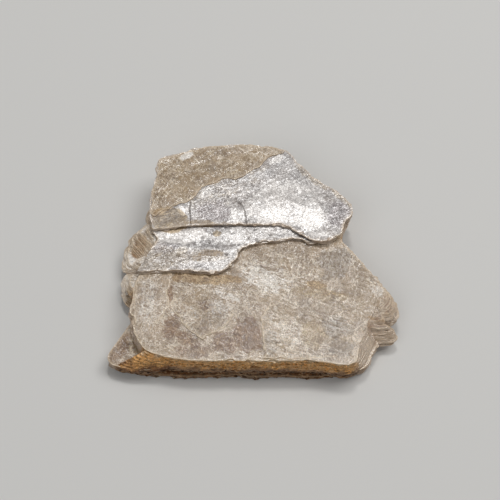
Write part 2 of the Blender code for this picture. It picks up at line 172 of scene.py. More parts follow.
# Broken sheet ends: (low, high, tilt about X, tilt about Y, outline), from the bottom up.
LEFT_ENDS = [
    (1.8, 3.0, 0.5, -2.0, [
        (-27.0, -2.6), (-32.4, -3.4), (-33.7, -5.4), (-33.6, -8.0), (-33.1, -10.4),
        (-31.8, -12.4), (-29.8, -13.4), (-27.0, -13.6)]),
    (2.7, 3.9, 2.5, -5.0, [
        (-27.0, -2.4), (-33.0, -3.0), (-34.1, -5.0), (-34.2, -7.4), (-33.9, -9.6),
        (-33.0, -11.6), (-31.0, -13.0), (-27.0, -13.2)]),
    (3.7, 5.0, -1.0, -8.0, [
        (-27.0, -3.0), (-32.0, -3.4), (-33.2, -5.2), (-33.1, -7.8), (-32.2, -10.0),
        (-30.6, -11.4), (-27.0, -12.0)]),
    (4.8, 6.2, -2.0, -6.0, [
        (-27.0, -4.0), (-31.2, -4.6), (-31.9, -6.8), (-31.4, -9.4), (-30.0, -10.8),
        (-27.0, -11.0)]),
    (5.9, 7.7, -1.0, -6.0, [
        (-27.0, -4.6), (-31.0, -4.9), (-32.5, -6.6), (-32.4, -9.4), (-31.2, -11.2),
        (-29.4, -12.4), (-27.0, -12.6)]),
    (7.7, 9.0, 1.0, -5.0, [
        (-24.0, 0.4), (-27.4, -0.4), (-29.6, -1.2), (-31.2, -2.8), (-30.6, -4.2),
        (-28.8, -5.4), (-26.0, -5.9), (-24.0, -5.8)]),
    (3.0, 4.2, 0.0, -3.0, [
        (-25.0, 10.0), (-29.4, 8.8), (-31.6, 6.6), (-33.2, 4.6), (-33.8, 2.0), (-34.1, -0.6),
        (-33.7, -2.6), (-32.2, -3.6), (-25.0, -5.0)]),
    (4.0, 5.2, 3.0, -6.0, [
        (-25.0, 10.6), (-28.6, 9.6), (-30.4, 8.0), (-32.2, 6.4), (-33.4, 4.0), (-33.6, 1.4),
        (-33.2, -1.2), (-32.0, -2.8), (-30.0, -3.8), (-25.0, -4.6)]),
    (5.1, 6.2, 0.0, -2.0, [
        (-25.0, 11.0), (-28.0, 10.0), (-30.4, 8.2), (-32.6, 5.8), (-31.9, 3.4), (-29.6, 0.4),
        (-27.6, -2.8), (-25.0, -4.0)]),
    (6.0, 7.0, -1.0, -3.0, [
        (-25.0, 11.2), (-27.8, 10.2), (-29.8, 8.4), (-31.8, 6.2), (-30.8, 4.0), (-28.6, 1.2),
        (-26.8, -2.0), (-25.0, -3.0)]),
    (6.8, 7.9, 0.0, -4.0, [
        (-24.0, 11.6), (-27.2, 10.4), (-28.9, 8.8), (-30.6, 6.8), (-29.6, 5.0), (-27.6, 2.4),
        (-26.0, -0.8), (-24.0, -2.0)]),
    (7.6, 8.8, 1.0, -3.0, [
        (-24.0, 11.0), (-27.0, 9.2), (-28.8, 7.2), (-28.2, 5.8), (-26.6, 3.4), (-25.2, 0.6),
        (-24.0, -1.0)]),
    (5.0, 7.8, 0.0, -5.0, [
        (-25.0, 16.0), (-27.4, 15.4), (-28.1, 14.0), (-28.2, 12.2), (-27.6, 10.4),
        (-25.0, 9.0)]),
]
RIGHT_ENDS = [
    (3.6, 4.8, 0.0, 2.0, [
        (28.0, -8.6), (33.4, -10.4), (35.6, -12.6), (36.6, -15.4), (36.2, -17.6),
        (34.6, -18.8), (28.0, -19.4)]),
    (4.6, 6.0, 2.0, 5.0, [
        (28.0, -8.0), (33.2, -9.6), (34.8, -11.2), (36.2, -13.4), (36.7, -16.0),
        (35.8, -18.0), (33.4, -18.9), (28.0, -19.0)]),
    (5.7, 7.0, -2.0, 6.0, [
        (28.0, -8.0), (32.8, -9.2), (34.6, -10.9), (36.0, -13.2), (36.1, -15.6),
        (34.8, -17.6), (32.6, -18.6), (28.0, -18.6)]),
    (6.6, 7.8, 1.0, 7.0, [
        (28.0, -7.4), (32.2, -8.6), (34.2, -10.4), (35.4, -12.8), (35.2, -15.0),
        (33.6, -17.0), (31.0, -18.2), (28.0, -18.4)]),
    (7.2, 8.2, 0.0, 5.0, [
        (30.6, -8.0), (32.4, -8.8), (33.9, -10.6), (34.6, -12.6), (34.0, -14.8),
        (32.2, -16.4), (31.0, -17.6), (30.2, -16.0)]),
    (6.0, 7.5, 1.0, 8.0, [
        (27.0, -15.6), (30.6, -15.2), (32.6, -16.6), (33.4, -18.2), (32.8, -19.4),
        (30.4, -20.6), (27.0, -20.8)]),
    (2.4, 3.6, 1.0, 2.0, [
        (27.0, -20.0), (33.4, -19.8), (35.0, -21.0), (35.6, -22.2), (34.2, -23.6),
        (31.6, -24.0), (27.0, -24.4)]),
    (3.4, 4.5, -1.0, 3.0, [
        (27.0, -19.4), (33.2, -19.2), (35.2, -20.0), (36.3, -21.6), (35.6, -23.0),
        (33.0, -23.6), (27.0, -23.8)]),
    (4.3, 5.7, 1.5, 4.0, [
        (27.0, -19.2), (33.6, -18.9), (35.2, -19.9), (35.8, -21.2), (34.8, -22.3),
        (31.6, -22.9), (27.0, -22.8)]),
    (5.4, 6.8, 0.0, 7.0, [
        (27.0, -19.0), (33.0, -19.0), (34.6, -20.1), (34.2, -21.4), (31.6, -22.0),
        (27.0, -22.2)]),
]

# The slope of sheet ends that runs from the front left corner out to the tip of the low plate:
# its tip, its front, its two inner corners and its left, at its lowest and at its highest.
CORNER_SLOPE_LOW = [
    (-34.6, -29.8), (-33.0, -30.9), (-30.0, -31.6), (-25.0, -31.5), (-20.0, -30.7),
    (-20.0, -24.0), (-26.6, -25.6), (-28.6, -27.7), (-31.6, -28.5),
]
CORNER_SLOPE_TOP = [
    (-27.2, -28.3), (-26.4, -29.1), (-24.4, -29.7), (-22.5, -30.0), (-20.0, -30.1),
    (-20.0, -25.0), (-25.4, -26.2), (-26.6, -27.0), (-27.0, -27.6),
]
CORNER_SLOPE_HEIGHTS = (3.7, 7.9)

# How many sheets a slope is built from, and how far each reaches down into the one below.
SLOPE_STEPS = 8
SLOPE_SEAT = 0.25

# The slope of sheet ends at the right, below the front plate, at its lowest and at its highest.
RIGHT_SLOPE_LOW = [
    (20.0, -31.6), (23.0, -32.2), (25.6, -31.6), *SLOPE_RIGHT_RUN[:10], (20.0, -4.0),
]
RIGHT_SLOPE_TOP = [
    (20.0, -31.4), (22.8, -32.0), (24.6, -31.4), (25.7, -30.0), (26.2, -27.8), (26.9, -25.6),
    (28.0, -23.2), (28.8, -20.6), (30.4, -17.2), (32.2, -13.8), (32.8, -10.6), (31.3, -7.4),
    (28.8, -4.2), (20.0, -4.2),
]
RIGHT_SLOPE_HEIGHTS = (3.5, 8.05)

# How finely packets are meshed: the step along their edges, the spacing of the points in their
# faces, and that spacing where another packet lies on the face.
EDGE_STEP = 0.43
FACE_SPACING = 0.44
HIDDEN_SPACING = 4.0

# Shares of their spacing: by the first, the points in a face are shaken, by the second they keep
# off its edge, and by the third the points along a crack do.
SHAKEN = 0.16
KEPT_OFF = 0.6
KEPT_OFF_RING = 0.5

# How far in under a packet the face below it still has close points, and the step of that line.
COVER_INSET = 0.9
COVER_STEP = 1.0

# The step of points along a crack, and how far from it, in its widths, other points keep.
CRACK_STEP = 0.35
CRACK_CLEAR = 1.7

# How often a line's outward directions are averaged, so that no sharp corner folds a sheet.
SMOOTHING = 5

# How far the points of a face follow its wandering edge, and how wide its pale rim is; the rim is
# partly a painted highlight where the edge catches the light.
DRIFT_REACH = 2.2
RIM_REACH = 0.28

# Each sheet's thickness as a share of the usual one, and the thinnest that may end a packet.
SHEET_SHARES = (0.55, 1.5)
THINNEST_SHARE = 0.5

# A sheet's upper edge is bevelled by the first, or by the second as a share of its thickness
# where that is less. Its ledge rises towards the sheet above by the third.
BEVEL = 0.06
BEVEL_SHARE = 0.3
LEDGE_RISE = 0.02

# Chips broken out of the edges: the size of the noise that places them, the strength at which
# a chip starts, by how much more it grows, and its depth for that strength.
CHIP_SIZE = (2.6, 2.6, 0.7)
CHIP_START = 0.22
CHIP_GROWTH = 0.35
CHIP_DEPTH = 1.9

# A patch's border wanders by lumps of these two sizes, the finer ones less by this share.
BORDER_LUMPS = (2.2, 0.9)
FINE_BORDER = 0.6

# The same for the edge of a thin sheet beside a line.
TERRACE_LUMPS = (3.0, 0.9)
FINE_TERRACE = 0.4

# How steeply noise folds into ridges.
RIDGE_FOLD = 3.0


class Face(Enum):
    """Kinds of face on the book, in the order of its material slots."""

    BEIGE = 0
    SILVER = 1
    EDGE = 2


class Tint(Enum):
    """Fields that lie over the faces: six colours and two kinds of lines."""

    STAIN = "stain"
    ROSE = "rose"
    HONEY = "honey"
    GREY = "grey"
    # White frost where air lies between the sheets, and over the slants of the strip and the back
    # plate a painted highlight of the key light.
    FROST_AND_HIGHLIGHT = "frost"
    IRON = "iron"
    STREAKY = "streaky"
    FOLDED = "folded"


# ---------------------------------------------------------------------------------------------
# Shaping helpers, in millimetres
# ---------------------------------------------------------------------------------------------


def eased(values: np.ndarray) -> np.ndarray:
    """Return values held to 0..1 and eased in and out."""
    held = np.clip(values, 0.0, 1.0)
    return held * held * (3.0 - 2.0 * held)


def wobble(points: np.ndarray, size: float | tuple[float, ...], seed: float) -> np.ndarray:
    """Return smooth noise, about -1..1, at each point.

    Args:
        points: rows of x, y, z in millimetres; rows of x, y count as z = 0.
        size: size of the lumps in millimetres, the same or one for each axis.
        seed: picks another pattern.

    Returns:
        One value for each point.
    """
    scaled = points / np.array(size)
    if scaled.shape[1] == 2:
        scaled = np.column_stack((scaled, np.zeros(len(scaled))))
    # Each seed moves the noise by uneven steps, so that no two patterns look alike.
    shift = Vector((seed * 7.31, seed * 3.17 + 0.5, seed * 5.93 + 0.25))
    return np.array([noise.noise(Vector(point) + shift) for point in scaled])


def averaged(line: np.ndarray, rounds: int) -> np.ndarray:
    """Average each point of a closed line with its neighbours.

    Args:
        line: the closed line's points.
        rounds: how many times this is done.

    Returns:
        The softened line, with as many points.
    """
    for _ in range(rounds):
        line = 0.25 * np.roll(line, 1, axis=0) + 0.5 * line + 0.25 * np.roll(line, -1, axis=0)
    return line


def spaced(route: np.ndarray, step: float, closed: bool) -> np.ndarray:
    """Walk along a line of straight pieces.

    Args:
        route: the line's corners.
        step: the distance between two points, which is rounded to fit the line.
        closed: whether the line returns to its start.

    Returns:
        Points at a steady step.
    """
    whole = np.vstack((route, route[:1])) if closed else route
    starts = np.concatenate(([0.0], np.cumsum(np.hypot(*np.diff(whole, axis=0).T))))
    count = max(3, round(starts[-1] / step))
    marks = np.linspace(0.0, starts[-1], count, endpoint=not closed)
    return np.column_stack([np.interp(marks, starts, whole[:, axis]) for axis in (0, 1)])


def outward(line: np.ndarray, rounds: int = 0) -> np.ndarray:
    """Find the outward direction at each point of a closed, anticlockwise line.

    Args:
        line: the line's points.
        rounds: how many times the directions are averaged.

    Returns:
        Unit directions.
    """
    along = np.roll(line, -1, axis=0) - np.roll(line, 1, axis=0)
    out = averaged(np.column_stack((along[:, 1], -along[:, 0])), rounds)
    return out / np.hypot(*out.T)[:, None]


def between(lower: Outline, upper: Outline, share: float) -> Outline:
    """Return the outline at a share of the way from one outline to another."""
    return [tuple(point) for point in np.array(lower) * (1.0 - share) + np.array(upper) * share]


def grown(outline: Outline, distance: float) -> Outline:
    """Return a closed outline moved outward by a distance, or inward by a negative one."""
    line = np.array(outline, dtype=float)
    return [tuple(point) for point in line + outward(line) * distance]


def inside(points: np.ndarray, line: np.ndarray) -> np.ndarray:
    """Find the points inside a closed line, by counting the edges to the right of each.

    Args:
        points: rows of x, y.
        line: the closed line's points.

    Returns:
        True for each point that lies inside.
    """
    x, y = points[:, 0:1], points[:, 1:2]
    x0, y0 = line[:, 0], line[:, 1]
    x1, y1 = np.roll(x0, -1), np.roll(y0, -1)
    rise = np.where(y1 == y0, 1e-12, y1 - y0)
    crossing = (y0 > y) != (y1 > y)
    left = x < (x1 - x0) * (y - y0) / rise + x0
    return (crossing & left).sum(axis=1) % 2 == 1


def gap_to(points: np.ndarray, route: np.ndarray) -> np.ndarray:
    """Measure the distance from points to an open line of straight pieces.

    Args:
        points: rows of x, y.
        route: the line's corners.

    Returns:
        The distance of each point.
    """
    nearest = np.full(len(points), np.inf)
    for start, end in zip(route[:-1], route[1:]):
        span = end - start
        share = np.clip((points - start) @ span / max(span @ span, 1e-12), 0.0, 1.0)
        nearest = np.minimum(nearest, np.hypot(*(points - start - share[:, None] * span).T))
    return nearest


def nearest_on(points: np.ndarray, line: np.ndarray) -> tuple[np.ndarray, np.ndarray]:
    """Find the nearest point of a line for each of many points.

    Args:
        points: rows of x, y.
        line: the line's points.

    Returns:
        The number of the nearest point of the line, and the distance to it.
    """
    tree = kdtree.KDTree(len(line))
    for index, (x, y) in enumerate(line):
        tree.insert((x, y, 0.0), index)
    tree.balance()
    found = [tree.find((x, y, 0.0)) for x, y in points]
    return np.array([hit[1] for hit in found]), np.array([hit[2] for hit in found])


def honeycomb(line: np.ndarray, spacing: float, rng: random.Random) -> np.ndarray:
    """Fill a closed line with shaken points that are packed like honeycomb.

    Args:
        line: the closed line's points.
        spacing: the distance between neighbours.
        rng: the source of the shaking.

    Returns:
        The points that lie well inside the line.
    """
    low, high = line.min(axis=0), line.max(axis=0)
    row_height = spacing * math.sqrt(0.75)
    rows = []
    for number in range(int((high[1] - low[1]) / row_height) + 1):
        x = np.arange(low[0] + (number % 2) * spacing / 2.0, high[0], spacing)
        rows.append(np.column_stack((x, np.full(len(x), low[1] + number * row_height))))
    points = np.vstack(rows)
    jitter = np.array([(rng.uniform(-1, 1), rng.uniform(-1, 1)) for _ in range(len(points))])
    points = points + jitter * spacing * SHAKEN
    points = points[inside(points, line)]
    return points[nearest_on(points, line)[1] > spacing * KEPT_OFF]


# ---------------------------------------------------------------------------------------------
# Patches and relief on a face
# ---------------------------------------------------------------------------------------------


@dataclass(frozen=True)
class Patch:
    """A soft-edged oval on a face, in outline coordinates."""

    x: float
    y: float
    half_width: float
    half_depth: float
    turn: float = 0.0
    strength: float = 1.0
    soft: float = 0.35
    waver: float = 0.35

    def weight(self, points: np.ndarray) -> np.ndarray:
        """Find how strongly the patch covers each point.

        Args:
            points: rows of x, y and perhaps z.

        Returns:
            0 outside, up to the patch's strength inside.
        """
        angle = math.radians(self.turn)
        x, y = points[:, 0] - self.x, points[:, 1] - self.y
        along = (x * math.cos(angle) + y * math.sin(angle)) / self.half_width
        across = (y * math.cos(angle) - x * math.sin(angle)) / self.half_depth
        reach = np.hypot(along, across)
        coarse, fine = BORDER_LUMPS
        reach = reach + self.waver * wobble(points[:, :2], coarse, self.x + self.y)
        reach = reach + FINE_BORDER * self.waver * wobble(points[:, :2], fine, self.x - self.y)
        return self.strength * eased((1.0 + self.soft - reach) / (2.0 * self.soft))


@dataclass(frozen=True)
class Ripple:
    """Waves or ridges on a face: their height, their length and width, and their direction."""

    height: float
    along: float
    across: float
    turn: float = 0.0
    seed: float = 1.0
    ridged: bool = False
    where: Patch | None = None

    def over(self, points: np.ndarray) -> np.ndarray:
        """Find the height that the waves add.

        Args:
            points: rows of x, y.

        Returns:
            The height at each point.
        """
        angle = math.radians(self.turn)
        along = points[:, 0] * math.cos(angle) + points[:, 1] * math.sin(angle)
        across = points[:, 1] * math.cos(angle) - points[:, 0] * math.sin(angle)
        plan = np.column_stack((along, across))
        wave = wobble(plan, (self.along, self.across), self.seed)
        if self.ridged:
            wave = 1.0 - RIDGE_FOLD * np.abs(wave)
        if self.where is not None:
            wave = wave * self.where.weight(points)
        return self.height * wave


@dataclass(frozen=True)
class Terrace:
    """The edge of one thin sheet that runs beside a line, and steps down away from it."""

    route: Outline
    distance: float
    step: float
    waver: float = 0.5
    width: float = 0.22

    def over(self, points: np.ndarray) -> np.ndarray:
        """Find the height that the sheet adds.

        Args:
            points: rows of x, y.

        Returns:
            The height at each point.
        """
        gap = gap_to(points, np.array(self.route))
        coarse, fine = TERRACE_LUMPS
        edge = self.distance + self.waver * wobble(points, coarse, self.distance)
        edge = edge + FINE_TERRACE * self.waver * wobble(points, fine, self.distance + 4.0)
        return self.step * eased((edge - gap) / self.width + 0.5)


@dataclass(frozen=True)
class Groove:
    """A crack across a face, with slanting sides."""

    route: Outline
    width: float = 0.20
    depth: float = 0.15

    def over(self, points: np.ndarray) -> np.ndarray:
        """Return the height, below zero, that the crack adds at each plan point."""
        gap = gap_to(points, np.array(self.route))
        return -self.depth * np.clip(1.0 - gap / self.width, 0.0, 1.0)


@dataclass(frozen=True)
class Swell:
    """A low rise or hollow on a face."""

    patch: Patch
    height: float

    def over(self, points: np.ndarray) -> np.ndarray:
        """Return the height that the rise adds at each plan point."""
        return self.height * self.patch.weight(points)


@dataclass(frozen=True)
class Slant:
    """A part of a face that rises towards the back, by an angle in degrees."""

    patch: Patch
    rise: float

    def over(self, points: np.ndarray) -> np.ndarray:
        """Return the height that the lean adds at each plan point."""
        height = (points[:, 1] - self.patch.y) * math.sin(math.radians(self.rise))
        return height * self.patch.weight(points)


Relief = tuple[Ripple | Terrace | Groove | Swell | Slant, ...]

# Relief of each face.
FRONT_PLATE_RELIEF = (
    Ripple(0.10, 22.0, 14.0, -15.0, 3.0),
    Ripple(0.012, 5.0, 1.2, -24.0, 5.0, ridged=True),
    Ripple(0.025, 3.4, 0.7, -22.0, 6.0, ridged=True, where=Patch(3.6, -8.0, 6.0, 4.0, -24.0)),
    Ripple(0.07, 2.6, 1.1, 60.0, 27.0, ridged=True, where=Patch(31.2, -12.2, 2.6, 4.4)),
    Swell(Patch(33.4, -13.0, 2.2, 5.0), -0.30),
)
LOW_PLATE_RELIEF = (Ripple(0.10, 8.0, 5.0, -60.0, 7.0), Ripple(0.04, 2.4, 1.0, -50.0, 8.0))
CORNER_RELIEF = (Ripple(0.05, 9.0, 5.0, -60.0, 9.0), Ripple(0.015, 2.0, 1.4, -50.0, 10.0))
TONGUE_RELIEF = (Ripple(0.05, 9.0, 5.0, 70.0, 11.0), Ripple(0.015, 2.0, 1.0, 80.0, 12.0))
SPLIT_RELIEF = (
    Ripple(0.08, 18.0, 9.0, -20.0, 13.0),
    Ripple(0.03, 5.0, 1.4, -24.0, 14.0, ridged=True),
)
STRIP_RELIEF = (
    Ripple(0.05, 14.0, 5.0, 8.0, 15.0),
    Ripple(0.010, 5.0, 0.9, 84.0, 16.0, ridged=True, where=Patch(-17.5, 3.6, 8.5, 3.4)),
    Ripple(0.014, 4.0, 1.0, 15.0, 17.0, ridged=True, where=Patch(-14.0, -3.4, 9.0, 2.4)),
    Ripple(0.008, 1.4, 1.0, 0.0, 18.0),
    Terrace([(-25.0, 1.9), (-21.0, 2.2), (-18.0, 1.6), (-14.0, 0.4), (-9.0, 0.2), (-5.0, 0.9)],
            0.9, 0.05, 0.4, 0.15),
    Slant(Patch(-18.6, 4.1, 7.4, 2.2, 0.0, 1.0, 0.2), 1.4),
    Slant(Patch(-5.1, 3.8, 4.6, 2.8), 0.9),
    Slant(Patch(-9.5, -3.5, 6.0, 2.6), 0.8),
    Slant(Patch(-19.0, -3.4, 6.0, 1.8), 1.0),
)
SILVER_RELIEF = tuple(
    Terrace(BEIGE_EDGE, distance, 0.02, 0.7, 0.16) for distance in (0.7, 1.5, 2.4, 3.6, 5.2, 7.0)
) + tuple(Groove(route) for route in CRACKS) + (
    Ripple(0.04, 16.0, 9.0, 20.0, 19.0),
    Ripple(0.008, 4.0, 0.9, 80.0, 20.0, ridged=True, where=Patch(-0.5, 10.5, 3.4, 4.0)),
    Ripple(0.010, 4.0, 0.9, 32.0, 28.0, ridged=True, where=Patch(6.0, 21.5, 8.0, 4.0, 30.0)),
    Ripple(0.004, 1.3, 1.0, 0.0, 21.0),
    Slant(Patch(14.5, 10.0, 4.4, 5.0, soft=0.7), 2.0),
    Slant(Patch(5.8, 11.2, 6.0, 4.4, soft=0.7), 1.8),
    Slant(Patch(-4.2, 10.2, 2.2, 3.4, soft=0.7), 1.7),
    Slant(Patch(-18.3, 11.3, 1.8, 1.9), 1.1),
    Slant(Patch(14.6, 9.0, 1.8, 2.0), 1.2),
)
BEIGE_RELIEF = (
    Ripple(0.12, 8.0, 5.0, 35.0, 22.0),
    Ripple(0.05, 2.6, 1.5, 30.0, 23.0, ridged=True),
    Ripple(0.02, 1.1, 1.0, 0.0, 24.0),
)
END_RELIEF = (
    Ripple(0.05, 4.0, 1.4, -50.0, 25.0, ridged=True), Ripple(0.03, 1.5, 0.7, -40.0, 26.0),
)
SLOPE_RELIEF = (Ripple(0.05, 5.0, 1.2, -60.0, 29.0),)

# Where each field lies on the faces, from above.
TINT_PATCHES = {
    Tint.STAIN: (
        Patch(-12.6, -7.6, 9.4, 1.7, -3.0, soft=0.2), Patch(15.6, -9.5, 2.6, 1.2, -8.0, soft=0.2),
        Patch(20.0, -11.8, 4.5, 0.8, -12.0, 0.5), Patch(-9.4, 5.0, 1.3, 1.0, soft=0.2),
        Patch(-10.8, -0.8, 2.8, 1.0, soft=0.2), Patch(-14.4, -2.4, 1.2, 0.9, strength=0.6),
        Patch(-21.6, 8.6, 4.7, 3.6, soft=0.1, waver=0.15), Patch(-13.4, 7.9, 3.4, 0.8, soft=0.2),
        Patch(30.4, -18.8, 2.4, 0.5, 0.0, 0.7), Patch(28.6, -22.0, 0.5, 2.6, 0.0, 0.7),
        Patch(-29.6, 2.9, 3.2, 2.0, 60.0, 0.6), Patch(-31.6, -11.8, 1.8, 1.1, 20.0, 1.0),
    ),
    Tint.ROSE: (
        Patch(-1.6, -23.6, 3.2, 5.2, 8.0, 0.9, 0.3),
        Patch(-20.3, -21.6, 2.2, 3.4, -12.0, 0.8, 0.4),
        Patch(-29.4, 3.0, 3.0, 2.0, 60.0, 0.8), Patch(-21.0, -12.1, 0.8, 2.4, 0.0, 0.8, 0.25),
        Patch(-11.8, -15.4, 2.4, 1.6, 0.0, 0.6, 0.5),
        Patch(32.2, -21.3, 3.6, 3.4, strength=0.9), Patch(34.4, -14.8, 2.0, 3.6, strength=0.7),
        Patch(-33.4, -25.4, 2.6, 4.6, -30.0, 0.7), Patch(-15.0, -28.4, 5.4, 2.0, 0.0, 0.6, 0.5),
        Patch(-7.2, -25.8, 3.2, 3.4, 0.0, 0.8, 0.4),
        Patch(-16.6, -24.9, 4.4, 1.9, -40.0, 0.7, 0.45),
    ),
    Tint.HONEY: (
        Patch(16.0, -12.1, 7.4, 1.8, -6.0, 0.7), Patch(14.6, -23.4, 3.4, 4.4, 0.0, 0.8),
        Patch(-13.0, 22.5, 15.0, 9.5, 18.0, 0.5, 0.15), Patch(-22.6, -2.2, 6.4, 3.4, 10.0, 1.0),
        Patch(-12.0, -1.4, 6.0, 2.0, 0.0, 0.8), Patch(-26.0, -3.8, 3.6, 2.2, 0.0, 0.8),
        Patch(-29.5, -25.0, 1.6, 3.6, 30.0, 0.8), Patch(15.0, 22.0, 5.5, 1.0, -45.0, 0.9, 0.2),
        Patch(22.6, 16.0, 4.0, 0.8, -48.0, 0.9, 0.2),
    ),
    Tint.GREY: (
        Patch(20.8, -21.8, 3.8, 3.0, -10.0, 0.9, 0.2), Patch(21.6, -27.6, 3.6, 2.6, 0.0, 0.7),
        Patch(20.6, -3.2, 4.2, 5.0, 0.0, 0.9, 0.2), Patch(-10.2, 11.2, 4.4, 3.4, soft=0.15),
        Patch(22.0, 10.5, 3.0, 4.5, 0.0, 0.8), Patch(-11.0, -17.6, 5.4, 5.0, 0.0, 0.5, 0.5),
        Patch(4.0, -26.5, 2.6, 3.6, 0.0, 0.6), Patch(-22.8, 0.4, 3.6, 1.5, 0.0, 0.8),
    ),
    # The frost field: white frost where air lies between the sheets; the patches over the slants of
    # the strip and the back plate are painted highlights of the key light.
    Tint.FROST_AND_HIGHLIGHT: (
        Patch(-26.4, -15.5, 3.2, 9.0, 0.0, 0.35, 0.6), Patch(-18.6, 4.1, 7.2, 2.3, 0.0, 0.75, 0.15),
        Patch(-9.0, -3.6, 4.8, 2.2, 12.0, 0.35), Patch(-23.7, -3.2, 1.8, 0.8, 0.0, 0.5),
        Patch(-17.6, -3.5, 3.4, 1.3, 0.0, 0.4), Patch(-4.8, 3.8, 5.4, 2.8, 0.0, 0.5),
        Patch(5.0, 4.8, 8.0, 1.6, 0.0, 0.35), Patch(-16.0, -0.5, 9.0, 2.4, 0.0, 0.25),
        Patch(-17.8, 28.4, 2.2, 1.1, 30.0, 0.75, 0.2), Patch(14.8, 9.2, 3.4, 3.6, 0.0, 0.95, 0.8),
        Patch(5.4, 10.0, 4.6, 3.2, 0.0, 0.95, 0.8), Patch(-4.2, 10.2, 1.8, 2.9, 0.0, 0.6, 0.7),
        Patch(-18.2, 11.4, 1.7, 1.7, 0.0, 0.6), Patch(6.0, 27.6, 2.8, 1.0, 35.0, 0.75),
        Patch(10.4, 8.4, 3.4, 1.6, 0.0, 0.7, 0.6), Patch(8.0, 16.0, 10.0, 6.0, 10.0, 0.6, 0.6),
        Patch(4.6, 5.6, 8.0, 1.0, 0.0, 0.5), Patch(17.0, 4.6, 3.0, 1.2, 0.0, 0.6),
        Patch(-12.1, 17.0, 2.2, 1.4, 40.0, 0.55), Patch(-0.5, 11.0, 3.0, 3.4, 0.0, 0.55),
        Patch(-32.0, -0.6, 1.6, 3.2, 20.0, 0.8), Patch(-33.4, -6.6, 1.7, 4.4, 5.0, 1.0),
        Patch(-30.0, -7.4, 1.4, 2.6, 0.0, 0.4), Patch(-28.6, 8.4, 2.6, 2.0, 0.0, 0.6),
        Patch(-29.6, -1.8, 2.4, 2.4, 0.0, 0.5), Patch(30.9, -11.2, 1.8, 1.8, 0.0, 0.45),
        Patch(2.5, -7.5, 6.5, 3.2, -24.0, 0.45), Patch(-8.4, -15.8, 3.4, 3.2, 0.0, 0.40, 0.5),
        Patch(-7.0, -12.6, 4.4, 1.0, -22.0, 0.45), Patch(-15.8, -18.4, 2.4, 3.0, 0.0, 0.3),
        Patch(8.6, -23.0, 5.0, 3.2, -35.0, 0.3, 0.6),
    ),
    Tint.IRON: (
        Patch(-4.0, -33.0, 33.0, 5.0, soft=0.2, waver=0.15), Patch(24.5, 4.0, 3.5, 3.0),
        Patch(-29.4, -29.6, 6.0, 2.6, 10.0), Patch(-29.2, 3.2, 3.0, 2.2, 60.0, 0.4),
        Patch(-31.6, -11.8, 2.0, 1.4, 20.0, 0.7), Patch(30.4, -18.8, 2.4, 0.6, 0.0, 0.6),
    ),
    Tint.STREAKY: (
        Patch(2.6, -7.4, 7.0, 4.4, -24.0), Patch(-8.6, -11.6, 4.6, 1.5, -22.0),
        Patch(20.6, -20.6, 4.2, 2.4, -22.0), Patch(8.0, -24.0, 6.0, 5.0, -30.0, 0.7),
        Patch(-31.5, -2.0, 4.0, 7.0, 0.0, 0.9),
    ),
    Tint.FOLDED: (
        Patch(21.0, -2.8, 5.2, 5.4), Patch(-17.5, 3.4, 9.0, 2.2), Patch(-0.5, 11.0, 3.4, 4.2),
        Patch(-26.8, -16.0, 2.6, 8.0, 0.0, 0.7), Patch(-31.5, 0.0, 4.0, 6.0, 0.0, 0.9),
    ),
}

# Where plates bend down into the sheet ends beside them, and have weaker pale rims.
RIMLESS_PATCHES = (
    Patch(-27.6, -2.6, 2.2, 3.4, -30.0, 0.9), Patch(29.0, -16.0, 2.6, 7.0, -20.0, 0.85),
    Patch(27.4, -23.0, 2.0, 4.5, -20.0, 0.6),
)

# Where thin flakes stand on the faces.
FLAKY_PATCHES = (
    Patch(-14.0, -2.5, 15.0, 4.5, 8.0, 0.8), Patch(-6.0, 4.5, 9.0, 3.0, 0.0, 0.6),
    Patch(8.0, 6.0, 12.0, 2.5, 0.0, 0.6), Patch(-30.5, -12.0, 3.0, 3.0, 0.0, 0.7),
    Patch(-31.0, 2.0, 3.0, 5.0, 0.0, 0.5), Patch(-8.0, 16.0, 12.0, 3.0, 25.0, 0.3),
)

# Flakes lie on faces whose normal's Z is at least this.
NEARLY_LEVEL = 0.93

# Heights at which splinters stick out of each packet's sides, and how deep their middles lie.
SPLINTER_SEAT = 0.1
SPLINTER_HEIGHTS = {
    "foot": (0.35, 0.85), "under_block": (1.6, 2.1), "low_plate": (2.7, 3.3),
    "block": (4.9, 5.5, 6.1), "front_plate": (7.1, 7.7), "back_plate": (10.0,),
}


# ---------------------------------------------------------------------------------------------
# Sheet packets
# ---------------------------------------------------------------------------------------------


@dataclass(frozen=True)
class Wander:
    """One size of wandering of a broken edge.

    It goes in and out by its depth, along the edge over its length, and from sheet to sheet
    over its height.
    """

    depth: float
    length: float
    height: float


# Broken edges, split edges, and edges where sheets end one behind another.
ROUGH_EDGE = (Wander(0.34, 6.0, 1.6), Wander(0.28, 1.9, 0.7), Wander(0.16, 0.8, 0.3))
CLEAN_EDGE = (Wander(0.16, 6.0, 2.0), Wander(0.12, 1.8, 0.6), Wander(0.09, 0.8, 0.3))
LEDGED_EDGE = (Wander(0.40, 3.4, 0.45), Wander(0.30, 1.3, 0.4), Wander(0.12, 0.7, 0.3))


